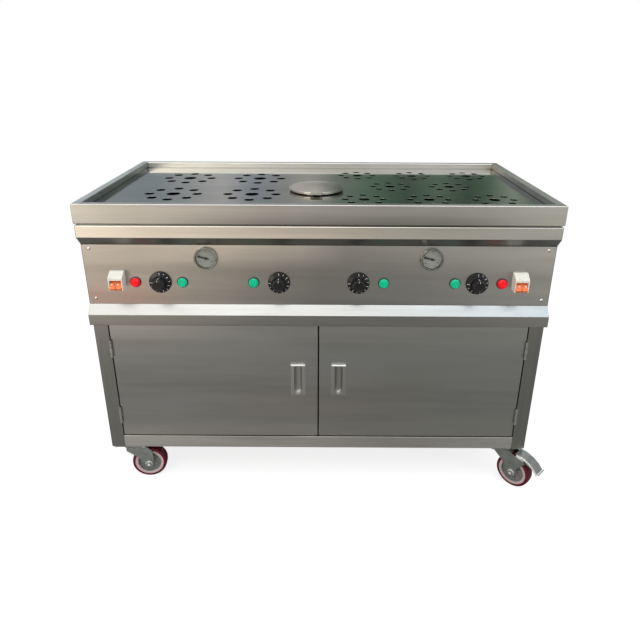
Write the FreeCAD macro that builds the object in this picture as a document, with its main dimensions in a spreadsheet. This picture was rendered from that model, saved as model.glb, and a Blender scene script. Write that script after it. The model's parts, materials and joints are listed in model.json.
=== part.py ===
import FreeCAD, Part
import math
import os
import Sketcher

# Steamer counter in folded stainless steel, in millimetres.
# The origin is on the floor under the middle of the counter, the controls face -Y and +Z is up.

Vector = FreeCAD.Vector
document = FreeCAD.newDocument("SteamerCounter")

drivingSizes = {
    # overall
    "overallWidth": 1200,
    "overallDepth": 600,
    "overallHeight": 850,
    "sheetThickness": 1.5,
    "flangeWidth": 15,
    "foldRadius": 2.2,
    "seatGap": 0.25,
    "cutMargin": 1,
    "holeClearance": 0.3,
    "screwClearance": 0.15,
    "foldedLip": 20,
    # rim and deck
    "rimFaceHeight": 50,
    "rimTopWidth": 20,
    "rimLipWidth": 12,
    "ledgeWidth": 15,
    "deckDrop": 18,
    "leftRingRadius": 65.5,
    "leftRingHole": 13,
    "leftCentreHole": 18.5,
    "leftGroupPitch": 215,
    "rightRingRadius": 50,
    "rightRingHole": 9.8,
    "rightCentreHole": 14.5,
    "rightGroupPitchX": 172.5,
    "rightGroupPitchY": 161,
    "collarRadius": 62,
    "collarRise": 8.25,
    "lidRadius": 77,
    "lidFlange": 17,
    "lidSkirt": 6.5,
    "lidDome": 8,
    "lidForward": 52,
    "lidLeft": 8,
    "lidTabWidth": 36,
    "lidTabReach": 15,
    "lidTabRise": 5,
    "lidTabThickness": 2,
    "lidTabCorner": 5,
    # front of the upper housing
    "bodyInset": 2,
    "shadowGap": 4,
    "bandHeight": 31,
    "slantHeight": 22,
    "panelRecess": 20,
    "panelHeight": 165,
    "barHeight": 30,
    # cabinet
    "cabinetBase": 125,
    "cabinetRecess": 21,
    "tubeSize": 38,
    "tubeWall": 1.5,
    "doorThickness": 22,
    "doorSideGap": 2.8,
    "doorCentreGap": 3.4,
    "doorBottomGap": 4,
    "doorTopGap": 3,
    "pullWidth": 41,
    "pullHeight": 100,
    "pullProud": 2,
    "pullTroughWidth": 22,
    "pullTroughDepth": 14,
    "pullFromEdge": 54,
    "pullAboveMiddle": 7,
    "hingePinRadius": 2.2,
    "hingeKnuckleRadius": 4,
    "hingeLength": 50,
    "hingeTopInset": 75,
    "hingeBottomInset": 70,
    "hingeLeafWidth": 18,
    "hingeLeafThickness": 1.1,
    "knuckleClearance": 0.4,
    "knuckleEndGap": 0.15,
    "pinHeadRadius": 3.2,
    "pinHeadThickness": 1.2,
    "panFoldRadius": 1.2,
    "pullWall": 2,
    "pullHoleClearance": 0.3,
    "pullTopMargin": 4,
    "pullLowMargin": 3,
    "hoodReach": 5,
    "hoodThickness": 2.5,
    "hoodFold": 1.5,
    "catchHeight": 14,
    "catchWidth": 40,
    "catchDepth": 14.75,
    "catchFromEdge": 8,
    "catchCorner": 2,
    # controls
    "controlRowRise": 63,
    "gaugeRowDrop": 36,
    "outerKnobFromEnd": 193,
    "innerKnobX": 102,
    "outerGreenFromEnd": 250,
    "innerGreenX": 167,
    "redLampFromEnd": 129,
    "gaugeFromEnd": 314,
    "breakerFromEnd": 86,
    "breakerRise": 72,
    "panelScrewFromEnd": 21,
    "panelScrewTop": 12,
    "panelScrewBottom": 17,
    "screwRadius": 2,
    "knobSkirtRadius": 28.5,
    "knobSkirtThickness": 6,
    "knobGripRadius": 18,
    "knobGripHeight": 21,
    "shaftRadius": 3,
    "knobSkirtGap": 0.5,
    "knobSkirtBevel": 1.5,
    "knobDraft": 1,
    "knobCrownBevel": 2,
    "fluteRadius": 2.6,
    "fluteOffset": 1.2,
    "spindleDepth": 12,
    "bushRadius": 4.7,
    "bushReach": 2,
    "thermostatLength": 34,
    "thermostatWidth": 40,
    "thermostatHeight": 30,
    "thermostatCorner": 3,
    "runningFit": 0.05,
    "lampRadius": 14.5,
    "lampLensRadius": 12.4,
    "lampBarrelRadius": 11,
    "lampBarrelLength": 28,
    "lampLensHeight": 7.5,
    "lampBezelHeight": 3,
    "lampBezelBevel": 0.8,
    "lampNutHeight": 4,
    "lampNutRadius": 14.85,
    "lampTabLength": 8,
    "lampTabWidth": 4.8,
    "lampTabThickness": 0.8,
    "lampTabSpread": 8,
    "gaugeRadius": 30,
    "gaugeBarrelRadius": 26,
    "gaugeBezelDepth": 8,
    "gaugeNotchClearance": 2,
    "gaugeCaseDepth": 25,
    "gaugeBezelWidth": 3.5,
    "gaugeBezelBevel": 2,
    "glassSeat": 5,
    "glassLedge": 1.2,
    "glassThickness": 1.4,
    "dialSeat": 1.2,
    "dialThickness": 0.6,
    "needleHubRadius": 2.4,
    "needleHubLow": 2.1,
    "needleHubHigh": 3.4,
    "needleLow": 2.5,
    "needleHigh": 3,
    "needleReach": 17,
    "needleTail": 7,
    "needleTailWidth": 3,
    "needleTipWidth": 0.8,
    "needleSpindleRadius": 1,
    "needleSpindleDepth": 5,
    "breakerWidth": 36,
    "breakerNoseHeight": 46,
    "breakerNoseReach": 27,
    "breakerCaseDepth": 46,
    "breakerCaseHeight": 80,
    "toggleSlotHalf": 15.4,
    "toggleHalf": 15,
    "togglePivotDrop": 5,
    "togglePivotReach": 12,
    "toggleHubRadius": 7,
    "toggleHubGap": 1,
    "togglePinRadius": 1.6,
    "togglePinHalf": 16.2,
    "toggleSlotRise": 4,
    "toggleTipRound": 1.5,
    # tanks and drains
    "tankCentreGap": 35,
    "tankSideClearance": 34.5,
    "tankCornerRadius": 18,
    "tankFlangeInset": 4,
    "tankDepth": 150,
    "tankFrontSetback": 63,
    "tankBackSetback": 33,
    "elementRadius": 4.5,
    "elementSpread": 40,
    "elementLength": 400,
    "elementHeight": 24,
    "elementStart": 6,
    "elementFlangeMargin": 14,
    "elementFlangeHalf": 12,
    "elementFlangeThickness": 4,
    "elementFlangeCorner": 8,
    "terminalRadius": 2,
    "terminalReach": 14,
    "drainRadius": 10.5,
    "drainBore": 8,
    "drainDepth": 100,
    "valveRise": 12,
    "pipeFlange": 8,
    "pipeFlangeThickness": 2,
    "stemRadius": 2.5,
    "stemBossRadius": 6,
    "stemBossReach": 12,
    "leverHubRadius": 7,
    "leverHubThickness": 6,
    "leverLength": 62,
    "leverHalf": 5,
    "leverRound": 4.5,
    "valveDrop": 26,
    "hoseHoleRadius": 30,
    "glandFromEnd": 170,
    "glandRise": 62,
    "glandBore": 6,
    "glandHexMargin": 7,
    "glandShankWall": 2,
    "glandCapWall": 4.5,
    "glandFlangeThickness": 5,
    "glandCapLength": 12,
    "glandShankLength": 10,
    "glandNutDepth": 6,
    # casters
    "casterPlateLength": 95,
    "casterPlateWidth": 67,
    "casterPlateThickness": 3,
    "wheelRadius": 50,
    "wheelWidth": 32,
    "casterTrail": 44,
    "frontRightTurn": -45,
    "frontLeftTurn": 5,
    "axleRadius": 5,
    "forkGap": 39,
    "forkSheet": 3,
    "plateCorner": 9,
    "racewayRadius": 30,
    "racewayLowRadius": 27,
    "racewayHeight": 8,
    "kingPinRadius": 6,
    "kingPinHeadRadius": 10,
    "kingPinHeadHeight": 4,
    "crownFront": 27,
    "crownBack": 36,
    "crownCorner": 16,
    "axleHexRadius": 9,
    "axleHeadHeight": 5,
    "axleNutHeight": 7,
    "pedalPinRadius": 3,
    "pedalPinTrail": 26,
    "pedalPinDrop": 9,
    "pedalHalf": 17,
    "pedalCheek": 2,
    "hubRadius": 13,
    "dishInner": 15,
    "dishOuter": 31,
    "ringInner": 34,
    "ringWidth": 7,
    "treadShoulder": 3.4,
    "treadCrown": 0.8,
}

# every other level and place follows from the driving sizes
derivedSizes = {
    "halfWidth": "Sizes.overallWidth / 2",
    "halfDepth": "Sizes.overallDepth / 2",
    "screwHole": "Sizes.screwRadius + Sizes.screwClearance",
    "bushHole": "Sizes.bushRadius + Sizes.holeClearance",
    "gaugeHole": "Sizes.gaugeBarrelRadius + Sizes.holeClearance",
    "gaugeNotch": "Sizes.gaugeBarrelRadius + Sizes.gaugeNotchClearance",
    "glandHole": "Sizes.glandBore + Sizes.glandShankWall + Sizes.holeClearance",
    "halfCentre": "(halfWidth - Sizes.tankSideClearance + Sizes.tankCentreGap / 2) / 2",
    "tankWidth": "halfWidth - Sizes.tankSideClearance - Sizes.tankCentreGap / 2",
    "outerKnobX": "halfWidth - Sizes.outerKnobFromEnd",
    "innerKnobX": "Sizes.innerKnobX",
    "outerGreenX": "halfWidth - Sizes.outerGreenFromEnd",
    "innerGreenX": "Sizes.innerGreenX",
    "redLampX": "halfWidth - Sizes.redLampFromEnd",
    "gaugeX": "halfWidth - Sizes.gaugeFromEnd",
    "breakerX": "halfWidth - Sizes.breakerFromEnd",
    "panelScrewX": "halfWidth - Sizes.panelScrewFromEnd",
    "glandX": "halfWidth - Sizes.glandFromEnd",
    "deckTop": "Sizes.overallHeight - Sizes.deckDrop",
    "deckUnderside": "deckTop - Sizes.sheetThickness",
    "ledgeUnderside": "deckUnderside - Sizes.sheetThickness",
    "rimBottom": "Sizes.overallHeight - Sizes.rimFaceHeight",
    "bandTop": "rimBottom - Sizes.shadowGap",
    "bandBottom": "bandTop - Sizes.bandHeight",
    "panelTop": "bandBottom - Sizes.slantHeight",
    "panelBottom": "panelTop - Sizes.panelHeight",
    "barTop": "panelBottom - Sizes.slantHeight",
    "barBottom": "barTop - Sizes.barHeight",
    "railTop": "Sizes.cabinetBase + Sizes.tubeSize",
    "topRailTop": "barBottom + Sizes.tubeSize",
    "bodyHalf": "halfWidth - Sizes.bodyInset",
    "bodyFront": "-halfDepth",
    "bodyBack": "halfDepth - Sizes.bodyInset",
    "panelFront": "bodyFront + Sizes.panelRecess",
    "panelBack": "panelFront + Sizes.sheetThickness",
    "cabinetFront": "bodyFront + Sizes.cabinetRecess",
    "postInner": "bodyHalf - Sizes.tubeSize",
    "postFrontInner": "cabinetFront + Sizes.tubeSize",
    "postBackInner": "bodyBack - Sizes.tubeSize",
    "innerHalf": "bodyHalf - Sizes.sheetThickness",
    "hingeAxisX": "postInner - Sizes.doorSideGap / 2",
    "hingeAxisY": "cabinetFront - Sizes.hingeKnuckleRadius - Sizes.knuckleClearance",
    "doorOuterEdge": "postInner - Sizes.doorSideGap",
    "doorInnerEdge": "Sizes.doorCentreGap / 2",
    "doorBottom": "railTop + Sizes.doorBottomGap",
    "doorTop": "barBottom - Sizes.doorTopGap",
    "doorBack": "cabinetFront + Sizes.doorThickness",
    "hingeUpperHeight": "doorTop - Sizes.hingeTopInset",
    "hingeLowerHeight": "doorBottom + Sizes.hingeBottomInset",
    "pullCentreHeight": "(doorTop + doorBottom) / 2 + Sizes.pullAboveMiddle",
    "controlRowHeight": "panelBottom + Sizes.controlRowRise",
    "gaugeRowHeight": "panelTop - Sizes.gaugeRowDrop",
    "breakerHeight": "panelBottom + Sizes.breakerRise",
    "glandHeight": "panelBottom + Sizes.glandRise",
    "valveHeight": "barBottom - Sizes.valveDrop",
    "pullX": "doorInnerEdge + Sizes.pullFromEdge",
    "tankFront": "bodyFront + Sizes.panelRecess + Sizes.tankFrontSetback",
    "tankBack": "bodyBack - Sizes.tankBackSetback",
    "tankBottom": "ledgeUnderside - Sizes.tankDepth",
    "casterX": "bodyHalf - Sizes.casterPlateLength / 2 - 1",
    "casterY": "-cabinetFront - Sizes.casterPlateWidth / 2 - 1",
    "forkTop": "Sizes.cabinetBase - Sizes.casterPlateThickness",
    "kneeTop": "bandBottom - Sizes.slantHeight * (panelBack - bodyFront) / Sizes.panelRecess",
    "kneeBottom": "barTop + Sizes.slantHeight * (panelBack - bodyFront) / Sizes.panelRecess",
    "lidTop": "deckTop + Sizes.collarRise + Sizes.seatGap + Sizes.sheetThickness",
    "lidBottom": "lidTop - Sizes.lidSkirt",
    "upperScrewHeight": "panelTop - Sizes.panelScrewTop",
    "lowerScrewHeight": "panelBottom + Sizes.panelScrewBottom",
}


def makeSheet(name, cells, formula):
    sheet = document.addObject("Spreadsheet::Sheet", name)
    for row, (alias, content) in enumerate(cells.items(), start=1):
        sheet.set(f"A{row}", alias)
        sheet.set(f"B{row}", f"={content}" if formula else str(content))
        sheet.setAlias(f"B{row}", alias)
    document.recompute()
    return sheet


sizes = makeSheet("Sizes", drivingSizes, False)
derived = makeSheet("Derived", derivedSizes, True)


def value(expression):
    """The number that an expression on the sheets gives now."""
    result = sizes.evalExpression(str(expression))
    return float(getattr(result, "Value", result))


planeRoles = {"XY": "XY_Plane", "XZ": "XZ_Plane", "YZ": "YZ_Plane"}
# a sketch on the XZ plane looks along +Y, so its own normal is -Y
normalSigns = {"XY": 1, "XZ": -1, "YZ": 1}
nodes = {}


def makeBody(name):
    return document.addObject("PartDesign::Body", name)


def makeSketch(body, name, plane, level="0", across="0", along="0"):
    """A sketch on one of the body's own planes, moved along the axes by expressions."""
    sketch = body.newObject("Sketcher::SketchObject", name)
    role = planeRoles[plane]
    origin = [feature for feature in body.Origin.OriginFeatures if feature.Role == role][0]
    sketch.AttachmentSupport = [(origin, "")]
    sketch.MapMode = "FlatFace"
    offsets = {"x": across, "y": along, "z": f"{normalSigns[plane]} * ({level})"}
    for axis, offset in offsets.items():
        sketch.setExpression(f"AttachmentOffset.Base.{axis}", offset)
    return sketch


def fixDistance(sketch, kind, item, point, expression):
    number = value(expression)
    if abs(number) < 1e-9:
        axis = -2 if kind == "DistanceX" else -1
        sketch.addConstraint(Sketcher.Constraint("PointOnObject", item, point, axis))
        return
    index = sketch.addConstraint(Sketcher.Constraint(kind, -1, 1, item, point, number))
    sketch.setExpression(f"Constraints[{index}]", str(expression))


def polygon(corners, closed=True):
    """An outline through corners given as pairs of expressions."""

    def draw(sketch):
        points = [Vector(value(across), value(along), 0) for across, along in corners]
        first = sketch.GeometryCount
        count = len(points)
        lines = count if closed else count - 1
        for index in range(lines):
            sketch.addGeometry(Part.LineSegment(points[index], points[(index + 1) % count]))
        for index in range(lines - 1):
            link = Sketcher.Constraint("Coincident", first + index, 2, first + index + 1, 1)
            sketch.addConstraint(link)
        if closed:
            sketch.addConstraint(Sketcher.Constraint("Coincident", first + lines - 1, 2, first, 1))
        for index, (across, along) in enumerate(corners):
            line = first + min(index, lines - 1)
            point = 1 if index < lines else 2
            fixDistance(sketch, "DistanceX", line, point, across)
            fixDistance(sketch, "DistanceY", line, point, along)

    return draw


def rectangle(left, right, low, high):
    return polygon([(left, low), (right, low), (right, high), (left, high)])


def roundedRectangle(left, right, low, high, radius):
    def draw(sketch):
        first = sketch.GeometryCount
        size = value(radius)
        centres = [(f"{right} - {radius}", f"{low} + {radius}"), (f"{right} - {radius}",
            f"{high} - {radius}"),
                   (f"{left} + {radius}", f"{high} - {radius}"), (f"{left} + {radius}",
                       f"{low} + {radius}")]
        spots = [Vector(value(across), value(along), 0) for across, along in centres]
        for index, spot in enumerate(spots):
            start = (index - 1) * math.pi / 2
            corner = Part.Circle(spot, Vector(0, 0, 1), size)
            sketch.addGeometry(Part.ArcOfCircle(corner, start, start + math.pi / 2))
        for index, spot in enumerate(spots):
            outward = Vector(math.cos(index * math.pi / 2), math.sin(index * math.pi / 2), 0) * size
            sketch.addGeometry(Part.LineSegment(spot + outward, spots[(index + 1) % 4] + outward))
        for index in range(4):
            line = first + 4 + index
            sketch.addConstraint(Sketcher.Constraint("Tangent", first + index, 2, line, 1))
            sketch.addConstraint(Sketcher.Constraint("Tangent", line, 2, first + (index + 1) % 4, 1))
            fixDistance(sketch, "DistanceX", first + index, 3, centres[index][0])
            fixDistance(sketch, "DistanceY", first + index, 3, centres[index][1])
            number = sketch.addConstraint(Sketcher.Constraint("Radius", first + index, size))
            sketch.setExpression(f"Constraints[{number}]", str(radius))

    return draw


def circle(across, along, radius):
    def draw(sketch):
        centre = Vector(value(across), value(along), 0)
        item = sketch.addGeometry(Part.Circle(centre, Vector(0, 0, 1), value(radius)))
        fixDistance(sketch, "DistanceX", item, 3, across)
        fixDistance(sketch, "DistanceY", item, 3, along)
        index = sketch.addConstraint(Sketcher.Constraint("Radius", item, value(radius)))
        sketch.setExpression(f"Constraints[{index}]", str(radius))

    return draw


def foldedSheet(line):
    """The section of a folded sheet whose thickness lies left of the given line of corners."""
    points = [(value(across), value(along)) for across, along in line]
    normals = []
    for start, end in zip(points, points[1:]):
        length = math.dist(start, end)
        normals.append(((start[1] - end[1]) / length, (end[0] - start[0]) / length))
    before = [normals[0]] + normals
    after = normals + [normals[-1]]
    inner = []
    for (across, along), one, two in zip(line, before, after):
        spread = 1 + one[0] * two[0] + one[1] * two[1]
        shiftAcross = (one[0] + two[0]) / spread
        shiftAlong = (one[1] + two[1]) / spread
        inner.append((
            f"{across} + {shiftAcross:.6f} * Sizes.sheetThickness",
            f"{along} + {shiftAlong:.6f} * Sizes.sheetThickness",
        ))
    return polygon(list(line) + inner[::-1])


def extrude(body, kind, name, plane, start, end, outlines, across="0", along="0"):
    sketch = makeSketch(body, f"{name}Outline", plane, start, across, along)
    for draw in outlines:
        draw(sketch)
    feature = body.newObject(kind, name)
    feature.Profile = sketch
    feature.setExpression("Length", f"({end}) - ({start})")
    towardsNormal = kind == "PartDesign::Pad"
    feature.Reversed = (normalSigns[plane] > 0) != towardsNormal
    sketch.Visibility = False
    return feature


def add(body, name, plane, start, end, *outlines, **offsets):
    """Material between two levels along the plane's axis."""
    return extrude(body, "PartDesign::Pad", name, plane, start, end, outlines, **offsets)


def cut(body, name, plane, start, end, *outlines, **offsets):
    """A pocket between two levels along the plane's axis."""
    return extrude(body, "PartDesign::Pocket", name, plane, start, end, outlines, **offsets)


def turn(body, name, *outlines):
    """A turned piece: outlines in radius and height, spun about the body's Z axis."""
    sketch = makeSketch(body, f"{name}Outline", "XZ")
    for draw in outlines:
        draw(sketch)
    feature = body.newObject("PartDesign::Revolution", name)
    feature.Profile = sketch
    feature.ReferenceAxis = (sketch, ["V_Axis"])
    feature.Angle = 360
    return feature


def edgesAlong(shape, axis, spots):
    """Names of straight edges along an axis whose other two coordinates are one of the spots."""
    others = [index for index in range(3) if index != axis]
    names = []
    for number, edge in enumerate(shape.Edges, start=1):
        if len(edge.Vertexes) != 2:
            continue
        start, end = (vertex.Point for vertex in edge.Vertexes)
        for spot in spots:
            misses = [abs(point[other] - value(place))
                      for point in (start, end) for other, place in zip(others, spot)]
            if max(misses) < 1e-4:
                names.append(f"Edge{number}")
    return names


def roundEdges(body, name, axis, spots, radius):
    document.recompute()
    base = body.Tip
    fillet = body.newObject("PartDesign::Fillet", name)
    fillet.Base = (base, edgesAlong(base.Shape, axis, spots))
    fillet.setExpression("Radius", radius)
    return fillet


def place(piece, across, depth, height, axis=None, angle=0):
    """Moves a piece to a spot given by expressions, turned about an axis through its origin."""
    rotation = FreeCAD.Rotation(Vector(*axis), angle) if axis else FreeCAD.Rotation()
    piece.Placement = FreeCAD.Placement(Vector(), rotation)
    for letter, expression in zip("xyz", (across, depth, height)):
        piece.setExpression(f"Placement.Base.{letter}", str(expression))
    return piece


def placeOnPanel(piece, across, height):
    """The piece's +Z axis faces out of the control panel and its +Y axis points up."""
    return place(piece, across, "Derived.panelFront", height, (1, 0, 0), 90)


def mirror(piece, name):
    copy = document.addObject("Part::Mirroring", name)
    copy.Source = piece
    copy.Normal = Vector(1, 0, 0)
    return copy


def group(name, pieces):
    compound = document.addObject("Part::Compound", name)
    compound.Links = pieces
    nodes[name] = compound
    return compound


def keep(piece):
    nodes[piece.Name] = piece
    return piece


def makeRimFrame():
    """One mitred ring: outer face, flat strip, inner wall and the ledge that carries the deck."""
    body = makeBody("rim_frame")
    path = makeSketch(body, "rimPath", "XY")
    polygon([
        ("0", "-Derived.halfDepth"),
        ("Derived.halfWidth", "-Derived.halfDepth"),
        ("Derived.halfWidth", "Derived.halfDepth"),
        ("-Derived.halfWidth", "Derived.halfDepth"),
        ("-Derived.halfWidth", "-Derived.halfDepth"),
        ("0", "-Derived.halfDepth"),
    ], closed=False)(path)
    front = "Derived.bodyFront"
    inner = f"{front} + Sizes.rimTopWidth"
    lip = f"{front} + Sizes.rimLipWidth"
    ledge = f"{inner} + Sizes.ledgeWidth"
    sheet = "Sizes.sheetThickness"
    top = "Sizes.overallHeight"
    section = makeSketch(body, "rimSection", "YZ")
    polygon([
        (front, top),
        (front, "Derived.rimBottom"),
        (f"{lip} - {sheet}", "Derived.rimBottom"),
        (f"{lip} - {sheet}", "Derived.bandTop"),
        (lip, "Derived.bandTop"),
        (lip, f"Derived.rimBottom + {sheet}"),
        (f"{front} + {sheet}", f"Derived.rimBottom + {sheet}"),
        (f"{front} + {sheet}", f"{top} - {sheet}"),
        (f"{inner} - {sheet}", f"{top} - {sheet}"),
        (f"{inner} - {sheet}", "Derived.ledgeUnderside"),
        (ledge, "Derived.ledgeUnderside"),
        (ledge, "Derived.deckUnderside"),
        (inner, "Derived.deckUnderside"),
        (inner, top),
    ])(section)
    sweep = body.newObject("PartDesign::AdditivePipe", "rimSweep")
    sweep.Profile = section
    sweep.Spine = (path, [f"Edge{number}" for number in range(1, 6)])
    sweep.Transition = "Right corner"
    document.recompute()
    base = body.Tip
    level = value(top)
    reach = [value(front), value(inner)]
    names = []
    for number, edge in enumerate(base.Shape.Edges, start=1):
        ends = [vertex.Point for vertex in edge.Vertexes]
        if len(ends) != 2 or edge.Length < value("Sizes.rimFaceHeight") - 1:
            continue
        flat = all(abs(point.z - level) < 1e-4 for point in ends)
        low = all(abs(point.z - value("Derived.rimBottom")) < 1e-4 for point in ends)
        outside = all(abs(abs(point.x) - value("Derived.halfWidth")) < 1e-4
                      or abs(abs(point.y) + reach[0]) < 1e-4 for point in ends)
        if flat or (low and outside):
            names.append(f"Edge{number}")
    rounding = body.newObject("PartDesign::Fillet", "rimFolds")
    rounding.Base = (base, names)
    rounding.setExpression("Radius", "Sizes.foldRadius")
    keep(body)


def makeDeckPlate():
    """The perforated plate: groups of one centre hole in a ring of eight."""
    body = makeBody("deck_plate")
    gap = "Sizes.seatGap"
    halfX = f"(Derived.halfWidth - Sizes.rimTopWidth - {gap})"
    halfY = f"(Derived.halfDepth - Sizes.rimTopWidth - {gap})"
    under = "Derived.deckUnderside"
    top = "Derived.deckTop"
    add(body, "plate", "XY", under, top, rectangle(f"-{halfX}", halfX, f"-{halfY}", halfY))
    centre = ("-Sizes.lidLeft", "-Sizes.lidForward")
    add(body, "collar", "XY", top, f"{top} + Sizes.collarRise", circle(*centre, "Sizes.collarRadius"))
    inside = "Sizes.collarRadius - Sizes.sheetThickness"
    collarTop = f"{top} + Sizes.collarRise"
    cut(body, "collarBore", "XY", f"{under} - 1", f"{collarTop} + 1", circle(*centre, inside))

    def holeGroup(name, holeRadius, ringRadius, across, along, steps):
        """One hole, repeated round its group centre when there is a ring, and along the steps."""
        hole = cut(body, name, "XY", f"{under} - 1", f"{top} + 1", circle(ringRadius, "0", holeRadius),
                   across=across, along=along)
        sketch = hole.Profile[0]
        transforms = []
        if ringRadius != "0":
            polar = body.newObject("PartDesign::PolarPattern", f"{name}Ring")
            polar.Axis = (sketch, ["N_Axis"])
            polar.Angle = 360
            polar.Occurrences = 8
            transforms.append(polar)
        for number, (direction, count, length) in enumerate(steps, start=1):
            line = body.newObject("PartDesign::LinearPattern", f"{name}Row{number}")
            line.Direction = (sketch, [direction])
            line.Occurrences = count
            line.setExpression("Length", length)
            transforms.append(line)
        pattern = body.newObject("PartDesign::MultiTransform", f"{name}Pattern")
        pattern.Originals = [hole]
        pattern.Transformations = transforms
        body.Tip = pattern

    leftSteps = [("H_Axis", 2, "Sizes.leftGroupPitch"), ("V_Axis", 2, "Sizes.leftGroupPitch")]
    leftX = "-Derived.halfCentre - Sizes.leftGroupPitch / 2"
    leftY = "-Sizes.leftGroupPitch / 2"
    holeGroup("leftRing", "Sizes.leftRingHole", "Sizes.leftRingRadius", leftX, leftY, leftSteps)
    holeGroup("leftCentre", "Sizes.leftCentreHole", "0", leftX, leftY, leftSteps)
    rowSteps = [("H_Axis", 3, "Sizes.rightGroupPitchX * 2"), ("V_Axis", 2, "Sizes.rightGroupPitchY * 2")]
    rowX = "Derived.halfCentre - Sizes.rightGroupPitchX"
    rowY = "-Sizes.rightGroupPitchY"
    holeGroup("rightRing", "Sizes.rightRingHole", "Sizes.rightRingRadius", rowX, rowY, rowSteps)
    holeGroup("rightCentre", "Sizes.rightCentreHole", "0", rowX, rowY, rowSteps)
    middleSteps = [("H_Axis", 2, "Sizes.rightGroupPitchX")]
    middleX = "Derived.halfCentre - Sizes.rightGroupPitchX / 2"
    holeGroup("middleRing", "Sizes.rightRingHole", "Sizes.rightRingRadius", middleX, "0", middleSteps)
    holeGroup("middleCentre", "Sizes.rightCentreHole", "0", middleX, "0", middleSteps)
    keep(body)


def makeLid():
    """A pressed cap whose flat rim lies on the filling collar, with a tab to lift it by."""
    body = makeBody("lid")
    sheet = "Sizes.sheetThickness"
    top = "Derived.lidTop"
    flat = "(Sizes.lidRadius - Sizes.lidFlange)"
    inner = []
    outer = []
    for step in (0, 0.25, 0.5, 0.75, 1):
        rise = f"{top} + Sizes.lidDome * (1 - {step} * {step})"
        inner.append((f"{flat} * {step}", f"{rise} - {sheet}"))
        outer.append((f"{flat} * {step}", rise))
    skirt = [
        (f"Sizes.lidRadius - {sheet}", f"{top} - {sheet}"),
        (f"Sizes.lidRadius - {sheet}", "Derived.lidBottom"),
        ("Sizes.lidRadius", "Derived.lidBottom"),
        ("Sizes.lidRadius", top),
    ]
    turn(body, "cap", polygon(inner + skirt + outer[::-1]))
    half = "Sizes.lidTabWidth / 2"
    tabTop = "Derived.lidBottom + Sizes.lidTabRise"
    add(body, "tab", "XY", f"{tabTop} - Sizes.lidTabThickness", tabTop, rectangle(
        f"-{half}", half, "-Sizes.lidRadius - Sizes.lidTabReach", f"-Sizes.lidRadius + {sheet} * 0.7"))
    tabEnd = "-Sizes.lidRadius - Sizes.lidTabReach"
    roundEdges(body, "tabCorners", 2, [(f"-{half}", tabEnd), (half, tabEnd)], "Sizes.lidTabCorner")
    place(body, "-Sizes.lidLeft", "-Sizes.lidForward", "0")
    keep(body)


def makeFascias():
    span = ("-Derived.innerHalf", "Derived.innerHalf")
    front = "Derived.bodyFront"
    back = "Derived.panelBack"
    lip = "Sizes.foldedLip"
    upperLine = [
        (f"{front} + Sizes.flangeWidth", "Derived.bandTop"),
        (front, "Derived.bandTop"),
        (front, "Derived.bandBottom"),
        (back, "Derived.kneeTop"),
        (back, f"Derived.kneeTop - {lip}"),
    ]
    upper = makeBody("upper_fascia")
    add(upper, "band", "YZ", *span, foldedSheet(upperLine))
    roundEdges(upper, "bandFolds", 0, upperLine[1:3], "Sizes.foldRadius")
    for side in ("-", ""):
        cut(upper, "gaugeNotch" + ("Left" if side else "Right"), "XZ", f"{back} - 1", f"{back} + 3",
            circle(f"{side}Derived.gaugeX", "Derived.gaugeRowHeight", "Derived.gaugeNotch"))
    cut(upper, "screwHoles", "XZ", f"{back} - 1", f"{back} + 3",
        circle("-Derived.panelScrewX", "Derived.upperScrewHeight", "Derived.screwHole"),
        circle("Derived.panelScrewX", "Derived.upperScrewHeight", "Derived.screwHole"))
    keep(upper)
    lowerLine = [
        (back, f"Derived.kneeBottom + {lip} + 4"),
        (back, "Derived.kneeBottom"),
        (front, "Derived.barTop"),
        (front, "Derived.barBottom"),
        ("Derived.cabinetFront - Sizes.seatGap", "Derived.barBottom"),
    ]
    lower = makeBody("lower_fascia")
    add(lower, "bar", "YZ", *span, foldedSheet(lowerLine))
    roundEdges(lower, "barFolds", 0, lowerLine[2:4], "Sizes.foldRadius")
    cut(lower, "screwHoles", "XZ", f"{back} - 1", f"{back} + 3",
        circle("-Derived.panelScrewX", "Derived.lowerScrewHeight", "Derived.screwHole"),
        circle("Derived.panelScrewX", "Derived.lowerScrewHeight", "Derived.screwHole"))
    keep(lower)


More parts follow.
